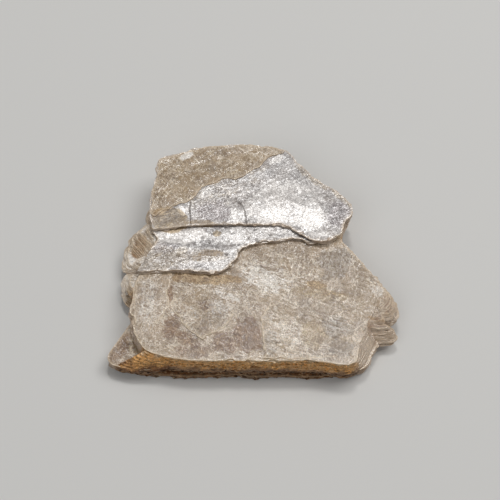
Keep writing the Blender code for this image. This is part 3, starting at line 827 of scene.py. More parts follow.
@dataclass
class SheetPacket:
    """A stack of cleavage sheets with one outline, made as a closed solid with layered sides.

    Its sides step in and out from sheet to sheet, and stand out from its outline by its spread,
    given for its foot and its top. Its face is the kind of its upper face and its ledges. Its
    waves are how its edges wander, its chips how deeply they are chipped, its sheet the usual
    thickness of one, and its lip how strong its pale rim is, which is partly a painted highlight.
    Its cover is the outline of what lies on it, under which its face needs few points.
    """

    name: str
    outline: Outline
    low: float
    high: float
    tilt: Point = LEVEL
    spread: Point = (0.0, 0.0)
    face: Face = Face.BEIGE
    waves: tuple[Wander, ...] = CLEAN_EDGE
    chips: float = 1.0
    sheet: float = 0.30
    lip: float = 1.0
    relief: Relief = ()
    cover: Outline | None = None
    seed: int = 1

    def level(self, plan: np.ndarray, height: float) -> np.ndarray:
        """Tilt a sheet of the packet.

        Args:
            plan: rows of x, y.
            height: the sheet's height in the middle of the packet.

        Returns:
            The sheet's height at each plan point.
        """
        from_middle = plan - np.array(self.outline).mean(axis=0)
        rise = from_middle[:, 1] * math.sin(math.radians(self.tilt[0]))
        return height + rise - from_middle[:, 0] * math.sin(math.radians(self.tilt[1]))

    def standing_out(self, line: np.ndarray, height: float) -> np.ndarray:
        """Find how far the broken edge of a sheet stands out from the outline.

        Args:
            line: points along the outline.
            height: the sheet's height.

        Returns:
            The distance outward at each point of the line.
        """
        points = np.column_stack((line, np.full(len(line), height)))
        share = (height - self.low) / (self.high - self.low)
        offset = np.full(len(line), self.spread[0] + (self.spread[1] - self.spread[0]) * share)
        for number, wave in enumerate(self.waves):
            size = (wave.length, wave.length, wave.height)
            offset = offset + wave.depth * wobble(points, size, self.seed + number * 3.7)
        chip = wobble(points, CHIP_SIZE, self.seed + 20.3) - CHIP_START
        return offset - self.chips * CHIP_DEPTH * np.clip(chip, 0.0, CHIP_GROWTH)

    def sheet_heights(self) -> list[Point]:
        """Divide the packet into sheets of random thickness.

        Returns:
            The upper and the lower height of each, from the top down.
        """
        rng = random.Random(self.seed)
        heights = []
        upper = self.high
        while upper > self.low:
            lower = upper - self.sheet * rng.uniform(*SHEET_SHARES)
            if lower - self.low < self.sheet * THINNEST_SHARE:
                lower = self.low
            heights.append((upper, lower))
            upper = lower
        return heights

    def rings(self, line: np.ndarray) -> list[np.ndarray]:
        """Lay rings of points down the packet's side, two for each sheet.

        Args:
            line: points along the outline.

        Returns:
            The rings from the top down, each as rows of x, y, z.
        """
        out = outward(line, SMOOTHING)
        rings = []
        for upper, lower in self.sheet_heights():
            offset = self.standing_out(line, upper)
            bevel = min(BEVEL, (upper - lower) * BEVEL_SHARE)
            for inset, height in ((bevel, upper), (0.0, lower + LEDGE_RISE)):
                plan = line + out * (offset - inset)[:, None]
                rings.append(np.column_stack((plan, self.level(plan, height))))
        for ring in rings[:2]:
            ring[:, 2] += self.raised(ring[:, :2])
        rings[-1][:, 2] = self.level(rings[-1][:, :2], self.low)
        return rings

    def raised(self, plan: np.ndarray) -> np.ndarray:
        """Add up the relief.

        Args:
            plan: rows of x, y.

        Returns:
            The height that the relief adds at each point.
        """
        total = np.zeros(len(plan))
        for form in self.relief:
            total = total + form.over(plan)
        return total

    def face_points(self, line: np.ndarray) -> np.ndarray:
        """Choose the points inside the top face, few where the packet is covered.

        Args:
            line: points along the outline.

        Returns:
            Rows of x, y.
        """
        rng = random.Random(self.seed + 1)
        points = honeycomb(line, FACE_SPACING, rng)
        if self.cover is not None:
            hidden = spaced(np.array(grown(self.cover, -COVER_INSET)), COVER_STEP, closed=True)
            sparse = honeycomb(line, HIDDEN_SPACING, rng)
            points = points[~inside(points, hidden)]
            points = np.vstack((points, sparse[inside(sparse, hidden)]))
        for form in self.relief:
            if isinstance(form, Groove):
                spine = spaced(np.array(form.route), CRACK_STEP, closed=False)
                side = np.array((form.width, 0.0))
                points = points[gap_to(points, spine) > form.width * CRACK_CLEAR]
                points = np.vstack((points, spine, spine + side, spine - side))
        points = points[inside(points, line)]
        return points[nearest_on(points, line)[1] > FACE_SPACING * KEPT_OFF_RING]

    def walked(self) -> np.ndarray:
        """Walk around the outline and soften its corners.

        Returns:
            Close points along it, anticlockwise.
        """
        line = averaged(spaced(np.array(self.outline), EDGE_STEP, closed=True), 2)
        after = np.roll(line, -1, axis=0)
        area = (line[:, 0] * after[:, 1] - after[:, 0] * line[:, 1]).sum()
        return line if area > 0.0 else line[::-1]

    def solid(self) -> bpy.types.Object:
        """Make the packet's mesh: the rings of its sides, its upper face and its flat foot.

        Returns:
            A closed mesh object, with its rim attribute and its kinds of face.
        """
        line = self.walked()
        rings = self.rings(line)
        count = len(line)
        faces = []
        kinds = []
        for number in range(len(rings) - 1):
            upper, lower = number * count, (number + 1) * count
            for index in range(count):
                after = (index + 1) % count
                faces.append((upper + index, lower + index, lower + after, upper + after))
            ledge = number % 2 == 1
            kinds += [(self.face if ledge else Face.EDGE).value] * count

        flat = self.face_points(line)
        index, gap = nearest_on(flat, line)
        drift = (rings[0][:, :2] - line)[index] * eased(1.0 - gap / DRIFT_REACH)[:, None]
        inner = flat + drift
        heights = self.level(inner, self.high) + self.raised(inner)
        base = len(rings) * count
        for triangle in filled(line, flat, self.name):
            faces.append(tuple(n if n < count else n - count + base for n in triangle))
            kinds.append(self.face.value)
        last = base - count
        for a, b, c in filled(line, np.zeros((0, 2)), self.name):
            faces.append((last + c, last + b, last + a))
            kinds.append(Face.EDGE.value)

        cloud = np.vstack(rings + [np.column_stack((inner, heights))])
        # The rim attribute is 1 along each sheet's upper edge and fades inward from the top face's
        # outline; the finishes paint it pale, partly as a painted highlight.
        rim_and_highlight = np.tile(np.repeat((1.0, 0.0), count), len(rings) // 2)
        rim_and_highlight = np.concatenate((rim_and_highlight, np.exp(-gap / RIM_REACH))) * self.lip
        return mesh_object(self.name, cloud, faces, kinds, rim_and_highlight)


def filled(line: np.ndarray, inner: np.ndarray, name: str) -> list[tuple[int, ...]]:
    """Return triangles that fill a closed line and join its inner points.

    Args:
        line: the closed line, which doesn't cross itself.
        inner: points inside it.
        name: what is filled, for the log.

    Returns:
        Corner numbers that count the line's points first, anticlockwise from above.
    """
    coords = [Vector(point) for point in np.vstack((line, inner))]
    ring = [list(range(len(line)))]
    _, _, triangles, origins, _, _ = geometry.delaunay_2d_cdt(coords, [], ring, 1, 1e-7)
    if not all(origins):
        log.warning("%s: the outline crosses itself", name)
    numbers = [origin[0] if origin else 0 for origin in origins]
    return [tuple(numbers[corner] for corner in triangle) for triangle in triangles]


def mesh_object(name: str, cloud: np.ndarray, faces: list[tuple[int, ...]], kinds: list[int],
                rim_and_highlight: np.ndarray) -> bpy.types.Object:
    """Make a mesh object in metres, placed on the book, from points in millimetres.

    Args:
        name: name of the object and of its mesh.
        cloud: rows of x, y, z.
        faces: corner numbers of each face.
        kinds: material slot of each face.
        rim_and_highlight: how near each point is to a broken edge, 0 to 1.

    Returns:
        The new object, with one empty slot for each kind of face.
    """
    mesh = bpy.data.meshes.new(name)
    mesh.from_pydata(((cloud + (PLACE_X, PLACE_Y, 0.0)) * MM).tolist(), [], faces)
    for _ in Face:
        mesh.materials.append(None)
    mesh.polygons.foreach_set("material_index", kinds)
    corners = np.zeros(len(mesh.loops), dtype=np.int32)
    mesh.loops.foreach_get("vertex_index", corners)
    stored = mesh.attributes.new("rim_and_highlight", "FLOAT", "CORNER")
    stored.data.foreach_set("value", rim_and_highlight[corners].astype(np.float32))
    mesh.update()
    return bpy.data.objects.new(name, mesh)


# ---------------------------------------------------------------------------------------------
# What repeats: cleavage flakes and edge splinters, made with Geometry Nodes
# ---------------------------------------------------------------------------------------------


def add_node(tree: bpy.types.NodeTree, kind: str, inputs: dict | None = None,
             stops: list[tuple[float, str]] | None = None, **settings: object) -> bpy.types.Node:
    """Add a node with its settings, values and links.

    Args:
        tree: the node tree.
        kind: the node's type name.
        inputs: a value, or the socket to link from, for each input by name or number.
        stops: the places and sRGB colours of a colour ramp.
        settings: the node's own properties.

    Returns:
        The new node.
    """
    node = tree.nodes.new(kind)
    for name, value in settings.items():
        setattr(node, name, value)
    for key, value in (inputs or {}).items():
        if isinstance(value, bpy.types.NodeSocket):
            tree.links.new(value, node.inputs[key])
        else:
            node.inputs[key].default_value = value
    if stops:
        ramp = node.color_ramp
        while len(ramp.elements) < len(stops):
            ramp.elements.new(1.0)
        for element, (place, colour) in zip(ramp.elements, stops):
            element.position = place
            element.color = linear(colour)
    return node


def linear(colour: str) -> tuple[float, float, float, float]:
    """Return an sRGB hex colour, such as "#c8b8a0", as linear red, green, blue and alpha."""
    parts = [int(colour[start:start + 2], 16) / 255.0 for start in (1, 3, 5)]
    return (*(p / 12.92 if p <= 0.04045 else ((p + 0.055) / 1.055) ** 2.4 for p in parts), 1.0)


def node_group(name: str, floats: tuple[str, ...]) -> tuple[bpy.types.GeometryNodeTree,
                                                           bpy.types.bpy_prop_collection]:
    """Start a Geometry Nodes tree with named inputs.

    Args:
        name: name of the tree.
        floats: names of its number inputs, besides its geometry, seed and finish.

    Returns:
        The tree and the outputs of its input node.
    """
    tree = bpy.data.node_groups.new(name, "GeometryNodeTree")
    face = tree.interface
    face.new_socket("Geometry", in_out="INPUT", socket_type="NodeSocketGeometry")
    for title in floats:
        face.new_socket(title, in_out="INPUT", socket_type="NodeSocketFloat")
    face.new_socket("Seed", in_out="INPUT", socket_type="NodeSocketInt")
    face.new_socket("Finish", in_out="INPUT", socket_type="NodeSocketMaterial")
    face.new_socket("Geometry", in_out="OUTPUT", socket_type="NodeSocketGeometry")
    return tree, add_node(tree, "NodeGroupInput").outputs


def leaning(tree: bpy.types.NodeTree, lean: bpy.types.NodeSocket, turn: float,
            seed: bpy.types.NodeSocket) -> bpy.types.NodeSocket:
    """Build a random turn for each instance.

    Args:
        tree: the node tree.
        lean: the greatest lean about X and Y, in radians.
        turn: the greatest turn about Z, in radians.
        seed: the random seed.

    Returns:
        The turn's socket.
    """
    back = add_node(tree, "ShaderNodeMath", {0: lean, 1: -1.0}, operation="MULTIPLY").outputs[0]
    low = add_node(tree, "ShaderNodeCombineXYZ", {0: back, 1: back, 2: -turn})
    high = add_node(tree, "ShaderNodeCombineXYZ", {0: lean, 1: lean, 2: turn})
    return add_node(tree, "FunctionNodeRandomValue", {
        0: low.outputs[0], 1: high.outputs[0], "Seed": seed}, data_type="FLOAT_VECTOR").outputs[0]


def strewn(tree: bpy.types.NodeTree, given: bpy.types.bpy_prop_collection,
           points: bpy.types.NodeSocket, turn: bpy.types.NodeSocket, least: tuple[float, ...],
           most: tuple[float, ...]) -> None:
    """Stand a six-sided sheet of random size on each point, dress them all, and end the tree.

    Args:
        tree: the node tree.
        given: the tree's inputs.
        points: where the sheets stand.
        turn: how each sheet is turned.
        least: the smallest size, as shares of the radius and the thickness.
        most: the largest size.
    """
    shape = add_node(tree, "GeometryNodeMeshCylinder", {
        "Vertices": 6, "Radius": given["Radius"], "Depth": given["Thickness"]})
    size = add_node(tree, "FunctionNodeRandomValue", {
        0: least, 1: most, "Seed": given["Seed"]}, data_type="FLOAT_VECTOR")
    placed = add_node(tree, "GeometryNodeInstanceOnPoints", {
        "Points": points, "Instance": shape.outputs["Mesh"], "Rotation": turn,
        "Scale": size.outputs[0]})
    real = add_node(tree, "GeometryNodeRealizeInstances", {0: placed.outputs[0]})
    dressed = add_node(tree, "GeometryNodeSetMaterial", {
        "Geometry": real.outputs[0], "Material": given["Finish"]})
    add_node(tree, "NodeGroupOutput", {0: dressed.outputs[0]})


@dataclass
class CleavageFlakes:
    """Thin six-sided flakes, partly lifted, on faces where sheets have split off.

    Their density is a number per square millimetre, and they lean by at most so many degrees.
    """

    density: float = 0.4
    apart: float = 1.7
    radius: float = 0.72
    thickness: float = 0.12
    lean: float = 6.0
    seed: int = 3

    def tree(self) -> bpy.types.GeometryNodeTree:
        """Build the node tree that scatters flakes over a surface, by its "flaky" attribute.

        Returns:
            The tree.
        """
        tree, given = node_group("cleavage_flakes",
                                 ("Density", "Apart", "Radius", "Thickness", "Lean"))
        flaky = add_node(tree, "GeometryNodeInputNamedAttribute", {"Name": "flaky"},
                         data_type="FLOAT")
        spread = add_node(tree, "GeometryNodeDistributePointsOnFaces", {
            "Mesh": given["Geometry"], "Distance Min": given["Apart"],
            "Density Max": given["Density"], "Density Factor": flaky.outputs[0],
            "Seed": given["Seed"]}, distribute_method="POISSON")
        turn = leaning(tree, given["Lean"], math.pi, given["Seed"])
        strewn(tree, given, spread.outputs["Points"], turn, (0.5, 0.35, 0.8), (1.15, 0.85, 1.2))
        return tree

    def on(self, ground: bpy.types.Object, finish: bpy.types.Material) -> bpy.types.Object:
        """Scatter the flakes over a surface.

        Args:
            ground: the surface, which is removed.
            finish: the flakes' material.

        Returns:
            The flakes as one plain mesh object.
        """
        values = {"Density": self.density / MM**2, "Apart": self.apart * MM,
                  "Radius": self.radius * MM, "Thickness": self.thickness * MM,
                  "Lean": math.radians(self.lean), "Seed": self.seed, "Finish": finish}
        return grown_by_nodes(ground, self.tree(), values, "cleavage_flakes")


@dataclass
class EdgeSplinters:
    """Short broken strips of sheet that stick out along the sides of the book.

    They lean by at most so many degrees, and twist about the upright by so many radians.
    """

    spacing: float = 2.6
    radius: float = 0.62
    thickness: float = 0.16
    lean: float = 8.0
    twist: float = 0.35
    seed: int = 5

    def tree(self) -> bpy.types.GeometryNodeTree:
        """Build the node tree that lays strips along lines.

        Returns:
            The tree.
        """
        tree, given = node_group("edge_splinters", ("Spacing", "Radius", "Thickness", "Lean"))
        line = add_node(tree, "GeometryNodeMeshToCurve", {"Mesh": given["Geometry"]})
        even = add_node(tree, "GeometryNodeResampleCurve", {
            "Curve": line.outputs[0], "Length": given["Spacing"]}, mode="LENGTH")
        along = add_node(tree, "GeometryNodeInputTangent")
        facing = add_node(tree, "FunctionNodeAlignRotationToVector", {
            "Vector": along.outputs[0]}, axis="X")
        turned = add_node(tree, "FunctionNodeRotateRotation", {
            0: facing.outputs[0], 1: leaning(tree, given["Lean"], self.twist, given["Seed"]),
        }, rotation_space="LOCAL")
        strewn(tree, given, even.outputs[0], turned.outputs[0], (0.5, 0.4, 0.7), (1.7, 0.9, 1.5))
        return tree

    def along(self, lines: bpy.types.Object, finish: bpy.types.Material) -> bpy.types.Object:
        """Lay the strips along lines.

        Args:
            lines: a mesh of edges, which is removed.
            finish: the strips' material.

        Returns:
            The strips as one plain mesh object.
        """
        values = {"Spacing": self.spacing * MM, "Radius": self.radius * MM,
                  "Thickness": self.thickness * MM, "Lean": math.radians(self.lean),
                  "Seed": self.seed, "Finish": finish}
        return grown_by_nodes(lines, self.tree(), values, "edge_splinters")


def grown_by_nodes(base: bpy.types.Object, tree: bpy.types.GeometryNodeTree, values: dict,
                   name: str) -> bpy.types.Object:
    """Run a Geometry Nodes tree on an object and return its result as a plain mesh object.

    Args:
        base: the object that the tree starts from, which is removed.
        tree: the node tree.
        values: a value for each of the tree's named inputs.
        name: name of the result.

    Returns:
        A new object at the origin, without a modifier.
    """
    bpy.context.scene.collection.objects.link(base)
    modifier = base.modifiers.new(name, "NODES")
    modifier.node_group = tree
    for socket in tree.interface.items_tree:
        if socket.in_out == "INPUT" and socket.name in values:
            modifier[socket.identifier] = values[socket.name]
    graph = bpy.context.evaluated_depsgraph_get()
    mesh = bpy.data.meshes.new_from_object(base.evaluated_get(graph))
    mesh.name = name
    base.modifiers.remove(modifier)
    bpy.data.objects.remove(base)
    bpy.data.node_groups.remove(tree)
    return bpy.data.objects.new(name, mesh)


# ---------------------------------------------------------------------------------------------
# The book
# ---------------------------------------------------------------------------------------------


@dataclass
class MicaBook:
    """The whole book: packets from the foot up, thin sheets on them, and bent sheet ends.

    Below the back plate, the packets' back edge stays inside the plate's by the back inset, and
    the beige sheet on it by the sheet inset. Edges sharper than the crease angle stay sharp.
    """

    back_inset: float = 0.5
    sheet_inset: float = 0.3
    crease_angle: float = 32.0

    def packets(self) -> list[SheetPacket]:
        """Describe the thick packets.

        Returns:
            The packets, from the bottom up.
        """
        back = grown(BACK_RUN, -self.back_inset)[1:-1]
        plate = PLATE_RIGHT_RUN + back + LEFT_RUN + FRONT_RUN
        low_plate = SLOPE_RIGHT_RUN + back + LOW_LEFT_RUN + FRONT_RUN
        strip = BACK_RUN + STRIP_LEFT_RUN + STRIP_FRONT_RUN + BACK_CORNER_RUN
        top = BACK_RUN + CREASE_RUN + BACK_CORNER_RUN
        return [
            SheetPacket("foot", FOOT_OUTLINE, 0.0, FOOT_TOP, face=Face.EDGE, waves=ROUGH_EDGE,
                        sheet=0.42, cover=low_plate, seed=11),
            SheetPacket("under_block", low_plate, FOOT_TOP - SEAT, UNDER_BLOCK_TOP,
                        spread=(-0.35, -0.2), waves=ROUGH_EDGE, face=Face.EDGE,
                        cover=low_plate, seed=12),
            SheetPacket("low_plate", low_plate, LOW_PLATE_FOOT, LOW_PLATE_TOP,
                        spread=(-0.2, 0.1), cover=plate, relief=LOW_PLATE_RELIEF, seed=13),
            SheetPacket("block", plate, LOW_PLATE_TOP - SEAT, BLOCK_TOP, spread=(0.45, -0.2),
                        waves=ROUGH_EDGE, face=Face.EDGE, cover=plate, seed=14),
            SheetPacket("front_plate", plate, FRONT_PLATE_FOOT, FRONT_PLATE_TOP,
                        spread=(-0.4, -0.15), cover=strip, relief=FRONT_PLATE_RELIEF, seed=15),
            SheetPacket("strip", strip, FRONT_PLATE_TOP - SEAT, MIDDLE_STRIP_TOP, STRIP_TILT,
                        (-0.3, 0.0), Face.SILVER, waves=LEDGED_EDGE, sheet=0.24, cover=top,
                        relief=STRIP_RELIEF, seed=16),
            SheetPacket("back_plate", top, MIDDLE_STRIP_TOP - SEAT, BACK_PLATE_TOP, BACK_TILT,
                        (-0.4, 0.1), Face.SILVER, relief=SILVER_RELIEF, seed=17),
        ]

    def sheets(self) -> list[SheetPacket]:
        """Describe the thin sheets that lie on the plates.

        Returns:
            A packet for each sheet.
        """
        beige = grown(BACK_RUN, -self.sheet_inset)[9:-2] + BEIGE_EDGE
        lying = [
            ("corner_sheet", CORNER_SHEET, FRONT_PLATE_TOP, 0.16, (1.2, 0.0), CORNER_RELIEF),
            ("tongue_sheet", TONGUE_SHEET, FRONT_PLATE_TOP, 0.10, (-1.5, 0.4), TONGUE_RELIEF),
            ("split_sheet", SPLIT_SHEET, FRONT_PLATE_TOP, 0.02, (-1.0, 0.9), SPLIT_RELIEF),
            ("beige_sheet", beige, BACK_PLATE_TOP, 0.60, (0.6, 0.4), BEIGE_RELIEF),
        ]
        return [
            SheetPacket(name, outline, level - SEAT, level + proud, tilt, relief=relief,
                        waves=LEDGED_EDGE, chips=0.9, sheet=0.2, seed=31 + number)
            for number, (name, outline, level, proud, tilt, relief) in enumerate(lying)
        ]

    def ends(self) -> list[SheetPacket]:
        """Describe the bent, broken sheet ends at the left and the right side.

        Returns:
            A packet for each end.
        """
        packets = []
        for side, ends in (("left", LEFT_ENDS), ("right", RIGHT_ENDS)):
            for number, (low, high, *tilt, outline) in enumerate(ends):
                packets.append(SheetPacket(
                    f"{side}_end_{number}", outline, low, high, tuple(tilt), (0.15, -1.0),
                    waves=ROUGH_EDGE, chips=0.6, sheet=0.17, relief=END_RELIEF,
                    seed=51 + number + 20 * (side == "right")))
        return packets

    @staticmethod
    def slopes() -> list[SheetPacket]:
        """Describe the two slopes of sheet ends.

        Returns:
            The packets of each slope, from the bottom up, each smaller than the one below.
        """
        packets = []
        for name, face, low, top, (start, end) in (
                ("corner_slope", Face.EDGE, CORNER_SLOPE_LOW, CORNER_SLOPE_TOP,
                 CORNER_SLOPE_HEIGHTS),
                ("right_slope", Face.BEIGE, RIGHT_SLOPE_LOW, RIGHT_SLOPE_TOP,
                 RIGHT_SLOPE_HEIGHTS)):
            rise = (end - start) / SLOPE_STEPS
            for number in range(SLOPE_STEPS):
                share, next_share = (
                    min(step / (SLOPE_STEPS - 1), 1.0) for step in (number, number + 1))
                foot = start + rise * number
                packets.append(SheetPacket(
                    f"{name}_{number}", between(low, top, share), foot - SLOPE_SEAT, foot + rise,
                    spread=(0.1, -0.3), face=face, chips=0.15, sheet=0.25, lip=0.2,
                    relief=SLOPE_RELIEF, cover=between(low, top, next_share),
                    seed=91 + len(packets)))
        return packets

    def build(self) -> bpy.types.Object:
        """Build every packet, join them into one closed mesh, and dress it.

        Returns:
            The book.
        """
        packets = self.packets() + self.sheets() + self.ends() + self.slopes()
        solids = [packet.solid() for packet in packets]
        for solid in solids:
            log.info("packet %s: %d faces", solid.name, len(solid.data.polygons))
        book = joined(solids, "mica_book")
        finishes = {finish.face: finish.material()
                    for finish in (BEIGE_CLEAVAGE, SILVER_CLEAVAGE, BROKEN_EDGE)}
        for face, finish in finishes.items():
            book.data.materials[face.value] = finish

        flakes = CleavageFlakes().on(self.flaky_ground(book), finishes[Face.SILVER])
        splinters = EdgeSplinters().along(self.side_lines(packets), finishes[Face.EDGE])
        for loose, face in ((flakes, Face.SILVER), (splinters, Face.EDGE)):
            log.info("%s: %d faces", loose.name, len(loose.data.polygons))
            slotted(loose.data, face, list(finishes.values()))
        book = joined([book, flakes, splinters], "mica_book")
        keep_largest(book.data)
        self.tint(book.data)
        book.data.shade_smooth()
        book.data.set_sharp_from_angle(angle=math.radians(self.crease_angle))
        return book

    @staticmethod
    def flaky_ground(book: bpy.types.Object) -> bpy.types.Object:
        """Copy the book's upper pearly faces, with how flaky they are at each point.

        Args:
            book: the book.

        Returns:
            A new object, with a "flaky" attribute.
        """
        mesh = bmesh.new()
        mesh.from_mesh(book.data)
        away = [face for face in mesh.faces
                if face.material_index != Face.SILVER.value or face.normal.z < NEARLY_LEVEL]
        bmesh.ops.delete(mesh, geom=away, context="FACES")
        ground = bpy.data.meshes.new("flaky_ground")
        mesh.to_mesh(ground)
        mesh.free()
        store_weights(ground, "flaky", FLAKY_PATCHES)
        return bpy.data.objects.new("flaky_ground", ground)

    @staticmethod
    def side_lines(packets: list[SheetPacket]) -> bpy.types.Object:
        """Draw lines along the sides of the packets, which splinters follow.

        Args:
            packets: the packets, of which those in SPLINTER_HEIGHTS have splinters.

        Returns:
            A new object of edges only.
        """
        points = []
        edges = []
        for packet in packets:
            if packet.name not in SPLINTER_HEIGHTS:
                continue
            line = packet.walked()
            for height in SPLINTER_HEIGHTS[packet.name]:
                reach = packet.standing_out(line, height) - SPLINTER_SEAT
                plan = line + outward(line, SMOOTHING) * reach[:, None]
                first = len(points)
                points += np.column_stack((plan, np.full(len(plan), height))).tolist()
                count = len(plan)
                edges += [(first + index, first + (index + 1) % count) for index in range(count)]
        mesh = bpy.data.meshes.new("side_lines")
        placed = (np.array(points) + (PLACE_X, PLACE_Y, 0.0)) * MM
        mesh.from_pydata(placed.tolist(), edges, [])
        return bpy.data.objects.new("side_lines", mesh)

    @staticmethod
    def tint(mesh: bpy.types.Mesh) -> None:
        """Store each field on the mesh's points, from its patches, and weaken some rims.

        Args:
            mesh: the book's mesh.
        """
        for tint, patches in TINT_PATCHES.items():
            store_weights(mesh, tint.value, patches)

        # A plate has no pale rim where it bends down into the sheet ends beside it.
        bent = weights(mesh, RIMLESS_PATCHES)
        corners = np.zeros(len(mesh.loops), dtype=np.int32)
        mesh.loops.foreach_get("vertex_index", corners)
        rim_and_highlight = np.zeros(len(mesh.loops), dtype=np.float32)
        stored = mesh.attributes["rim_and_highlight"]
        stored.data.foreach_get("value", rim_and_highlight)
        stored.data.foreach_set("value", (rim_and_highlight * (1.0 - bent[corners])).astype(np.float32))


def weights(mesh: bpy.types.Mesh, patches: tuple[Patch, ...]) -> np.ndarray:
    """Find how strongly patches cover each point of a mesh.

    Args:
        mesh: a mesh in metres, placed on the book.
        patches: the patches.

    Returns:
        The strongest patch's weight at each point.
    """
    cloud = np.zeros(len(mesh.vertices) * 3)
    mesh.vertices.foreach_get("co", cloud)
    points = cloud.reshape(-1, 3) / MM - (PLACE_X, PLACE_Y, 0.0)
    return np.max([patch.weight(points) for patch in patches], axis=0)


def store_weights(mesh: bpy.types.Mesh, name: str, patches: tuple[Patch, ...]) -> None:
    """Store how strongly patches cover each point of a mesh, as an attribute."""
    stored = mesh.attributes.new(name, "FLOAT", "POINT")
    stored.data.foreach_set("value", weights(mesh, patches).astype(np.float32))


def keep_largest(mesh: bpy.types.Mesh) -> None:
    """Keep the largest connected part of a mesh, without loose crumbs and inner hollows.

    Two faces on the same points, back to back, hold nothing between them and are dropped too.

    Args:
        mesh: the mesh, which is changed.
    """
    work = bmesh.new()
    work.from_mesh(mesh)
    on_points: dict[frozenset[int], list[bmesh.types.BMFace]] = {}
    for face in work.faces:
        on_points.setdefault(frozenset(vert.index for vert in face.verts), []).append(face)
    pairs = [face for faces in on_points.values() if len(faces) > 1 for face in faces]
    bmesh.ops.delete(work, geom=pairs, context="FACES")
    unseen = set(work.faces)
    parts = []
    while unseen:
        part = [unseen.pop()]
        for face in part:
            for edge in face.edges:
                for other in edge.link_faces:
                    if other in unseen:
                        unseen.remove(other)
                        part.append(other)
        parts.append(part)
    parts.sort(key=len, reverse=True)
    log.info("mica_book: %d loose parts of %d faces dropped", len(parts) - 1,
             sum(len(part) for part in parts[1:]))
    bmesh.ops.delete(work, geom=[face for part in parts[1:] for face in part], context="FACES")
    work.to_mesh(mesh)
    work.free()


# A flake's or splinter's sides, whose normal's Z is below the first, are as pale as the second: a
# pale rim that is partly a painted highlight of sides catching the light.
SIDEWAYS = 0.7
SIDE_RIM = 0.8


def slotted(mesh: bpy.types.Mesh, face: Face, finishes: list[bpy.types.Material]) -> None:
    """Give a mesh the book's material slots and rim attribute, with its sides as its rim.

    Args:
        mesh: the mesh of what stands on the book.
        face: the kind of all its faces.
        finishes: the book's materials, in slot order.
    """
    mesh.materials.clear()
    for finish in finishes:
        mesh.materials.append(finish)
    stored = mesh.attributes.new("rim_and_highlight", "FLOAT", "CORNER")
    for polygon in mesh.polygons:
        polygon.material_index = face.value
        rim_and_highlight = SIDE_RIM if abs(polygon.normal.z) < SIDEWAYS else 0.0
        for corner in polygon.loop_indices:
            stored.data[corner].value = rim_and_highlight


def joined(solids: list[bpy.types.Object], name: str) -> bpy.types.Object:
    """Join closed solids that reach into each other into one closed mesh.

    Args:
        solids: the solids, which are removed.
        name: name of the result.

    Returns:
        A new object at the origin.
    """
    scene = bpy.context.scene
    others = bpy.data.collections.new("joined_solids")
    scene.collection.children.link(others)
    for solid in solids[1:]:
        others.objects.link(solid)
    first = solids[0]
    if first.name not in scene.collection.objects:
        scene.collection.objects.link(first)
    union = first.modifiers.new("union", "BOOLEAN")
    union.operation = "UNION"
    union.solver = "MANIFOLD"
    union.operand_type = "COLLECTION"
    union.collection = others
    graph = bpy.context.evaluated_depsgraph_get()
    mesh = bpy.data.meshes.new_from_object(first.evaluated_get(graph))
    for solid in solids:
        bpy.data.objects.remove(solid)
    bpy.data.collections.remove(others)
    mesh.name = name
    made = bpy.data.objects.new(name, mesh)
    scene.collection.objects.link(made)
    return made


# ---------------------------------------------------------------------------------------------
# Finishes
# ---------------------------------------------------------------------------------------------


def started(name: str) -> tuple[bpy.types.Material, bpy.types.NodeSocket]:
    """Start a material.

    Args:
        name: its name.

    Returns:
        The material, with an otherwise empty tree, and the position in millimetres in it.
    """
    made = bpy.data.materials.new(name)
    made.use_nodes = True
    tree = made.node_tree
    tree.nodes.clear()
    place = add_node(tree, "ShaderNodeTexCoord").outputs["Object"]
    mm = add_node(tree, "ShaderNodeVectorMath", {0: place, "Scale": 1.0 / MM},
                  operation="SCALE").outputs[0]
    return made, mm


@dataclass(frozen=True)
class HairLines:
    """Fine winding lines on a face, in millimetres and degrees.

    They are pale where air lies between the sheets, and dark where a sheet has bent. They run
    along their turn, with bends of the first length in it and of the second across it. Their
    thickness is a share of those bends. They lie in one field, or else in clouds.
    """

    colour: str
    turn: float
    along: float
    across: float
    thickness: float
    amount: float
    seed: float
    where: Tint | None = None

    def amount_of(self, tree: bpy.types.NodeTree,
                  mm: bpy.types.NodeSocket) -> bpy.types.NodeSocket:
        """Build the lines.

        Args:
            tree: the material's nodes.
            mm: the position in millimetres.

        Returns:
            Their strength, 0 to their amount.
        """
        laid = add_node(tree, "ShaderNodeMapping", {
            "Vector": mm, "Rotation": (0.0, 0.0, math.radians(self.turn)),
            "Location": (self.seed, self.seed * 2.0, self.seed),
            "Scale": (self.along, self.across, 2.0)}, vector_type="TEXTURE")
        bends = add_node(tree, "ShaderNodeTexNoise", {
            "Vector": laid.outputs[0], "Scale": 1.0, "Detail": 3.0, "Roughness": 0.5})
        middle = add_node(tree, "ShaderNodeMath", {0: bends.outputs[0], 1: 0.5},
                          operation="SUBTRACT")
        off = add_node(tree, "ShaderNodeMath", {0: middle.outputs[0]}, operation="ABSOLUTE")
        line = add_node(tree, "ShaderNodeMapRange", {
            0: off.outputs[0], 1: 0.0, 2: self.thickness, 3: self.amount, 4: 0.0})
        if self.where is None:
            # Clouds about 3 bends across.
            cloud = add_node(tree, "ShaderNodeTexNoise", {
                "Vector": laid.outputs[0], "Scale": 0.35, "Detail": 2.0})
            area = add_node(tree, "ShaderNodeMapRange", {
                0: cloud.outputs[0], 1: 0.38, 2: 0.6}).outputs[0]
        else:
            area = add_node(tree, "ShaderNodeAttribute",
                            attribute_name=self.where.value).outputs["Fac"]
        return add_node(tree, "ShaderNodeMath", {0: area, 1: line.outputs[0]},
                        operation="MULTIPLY").outputs[0]


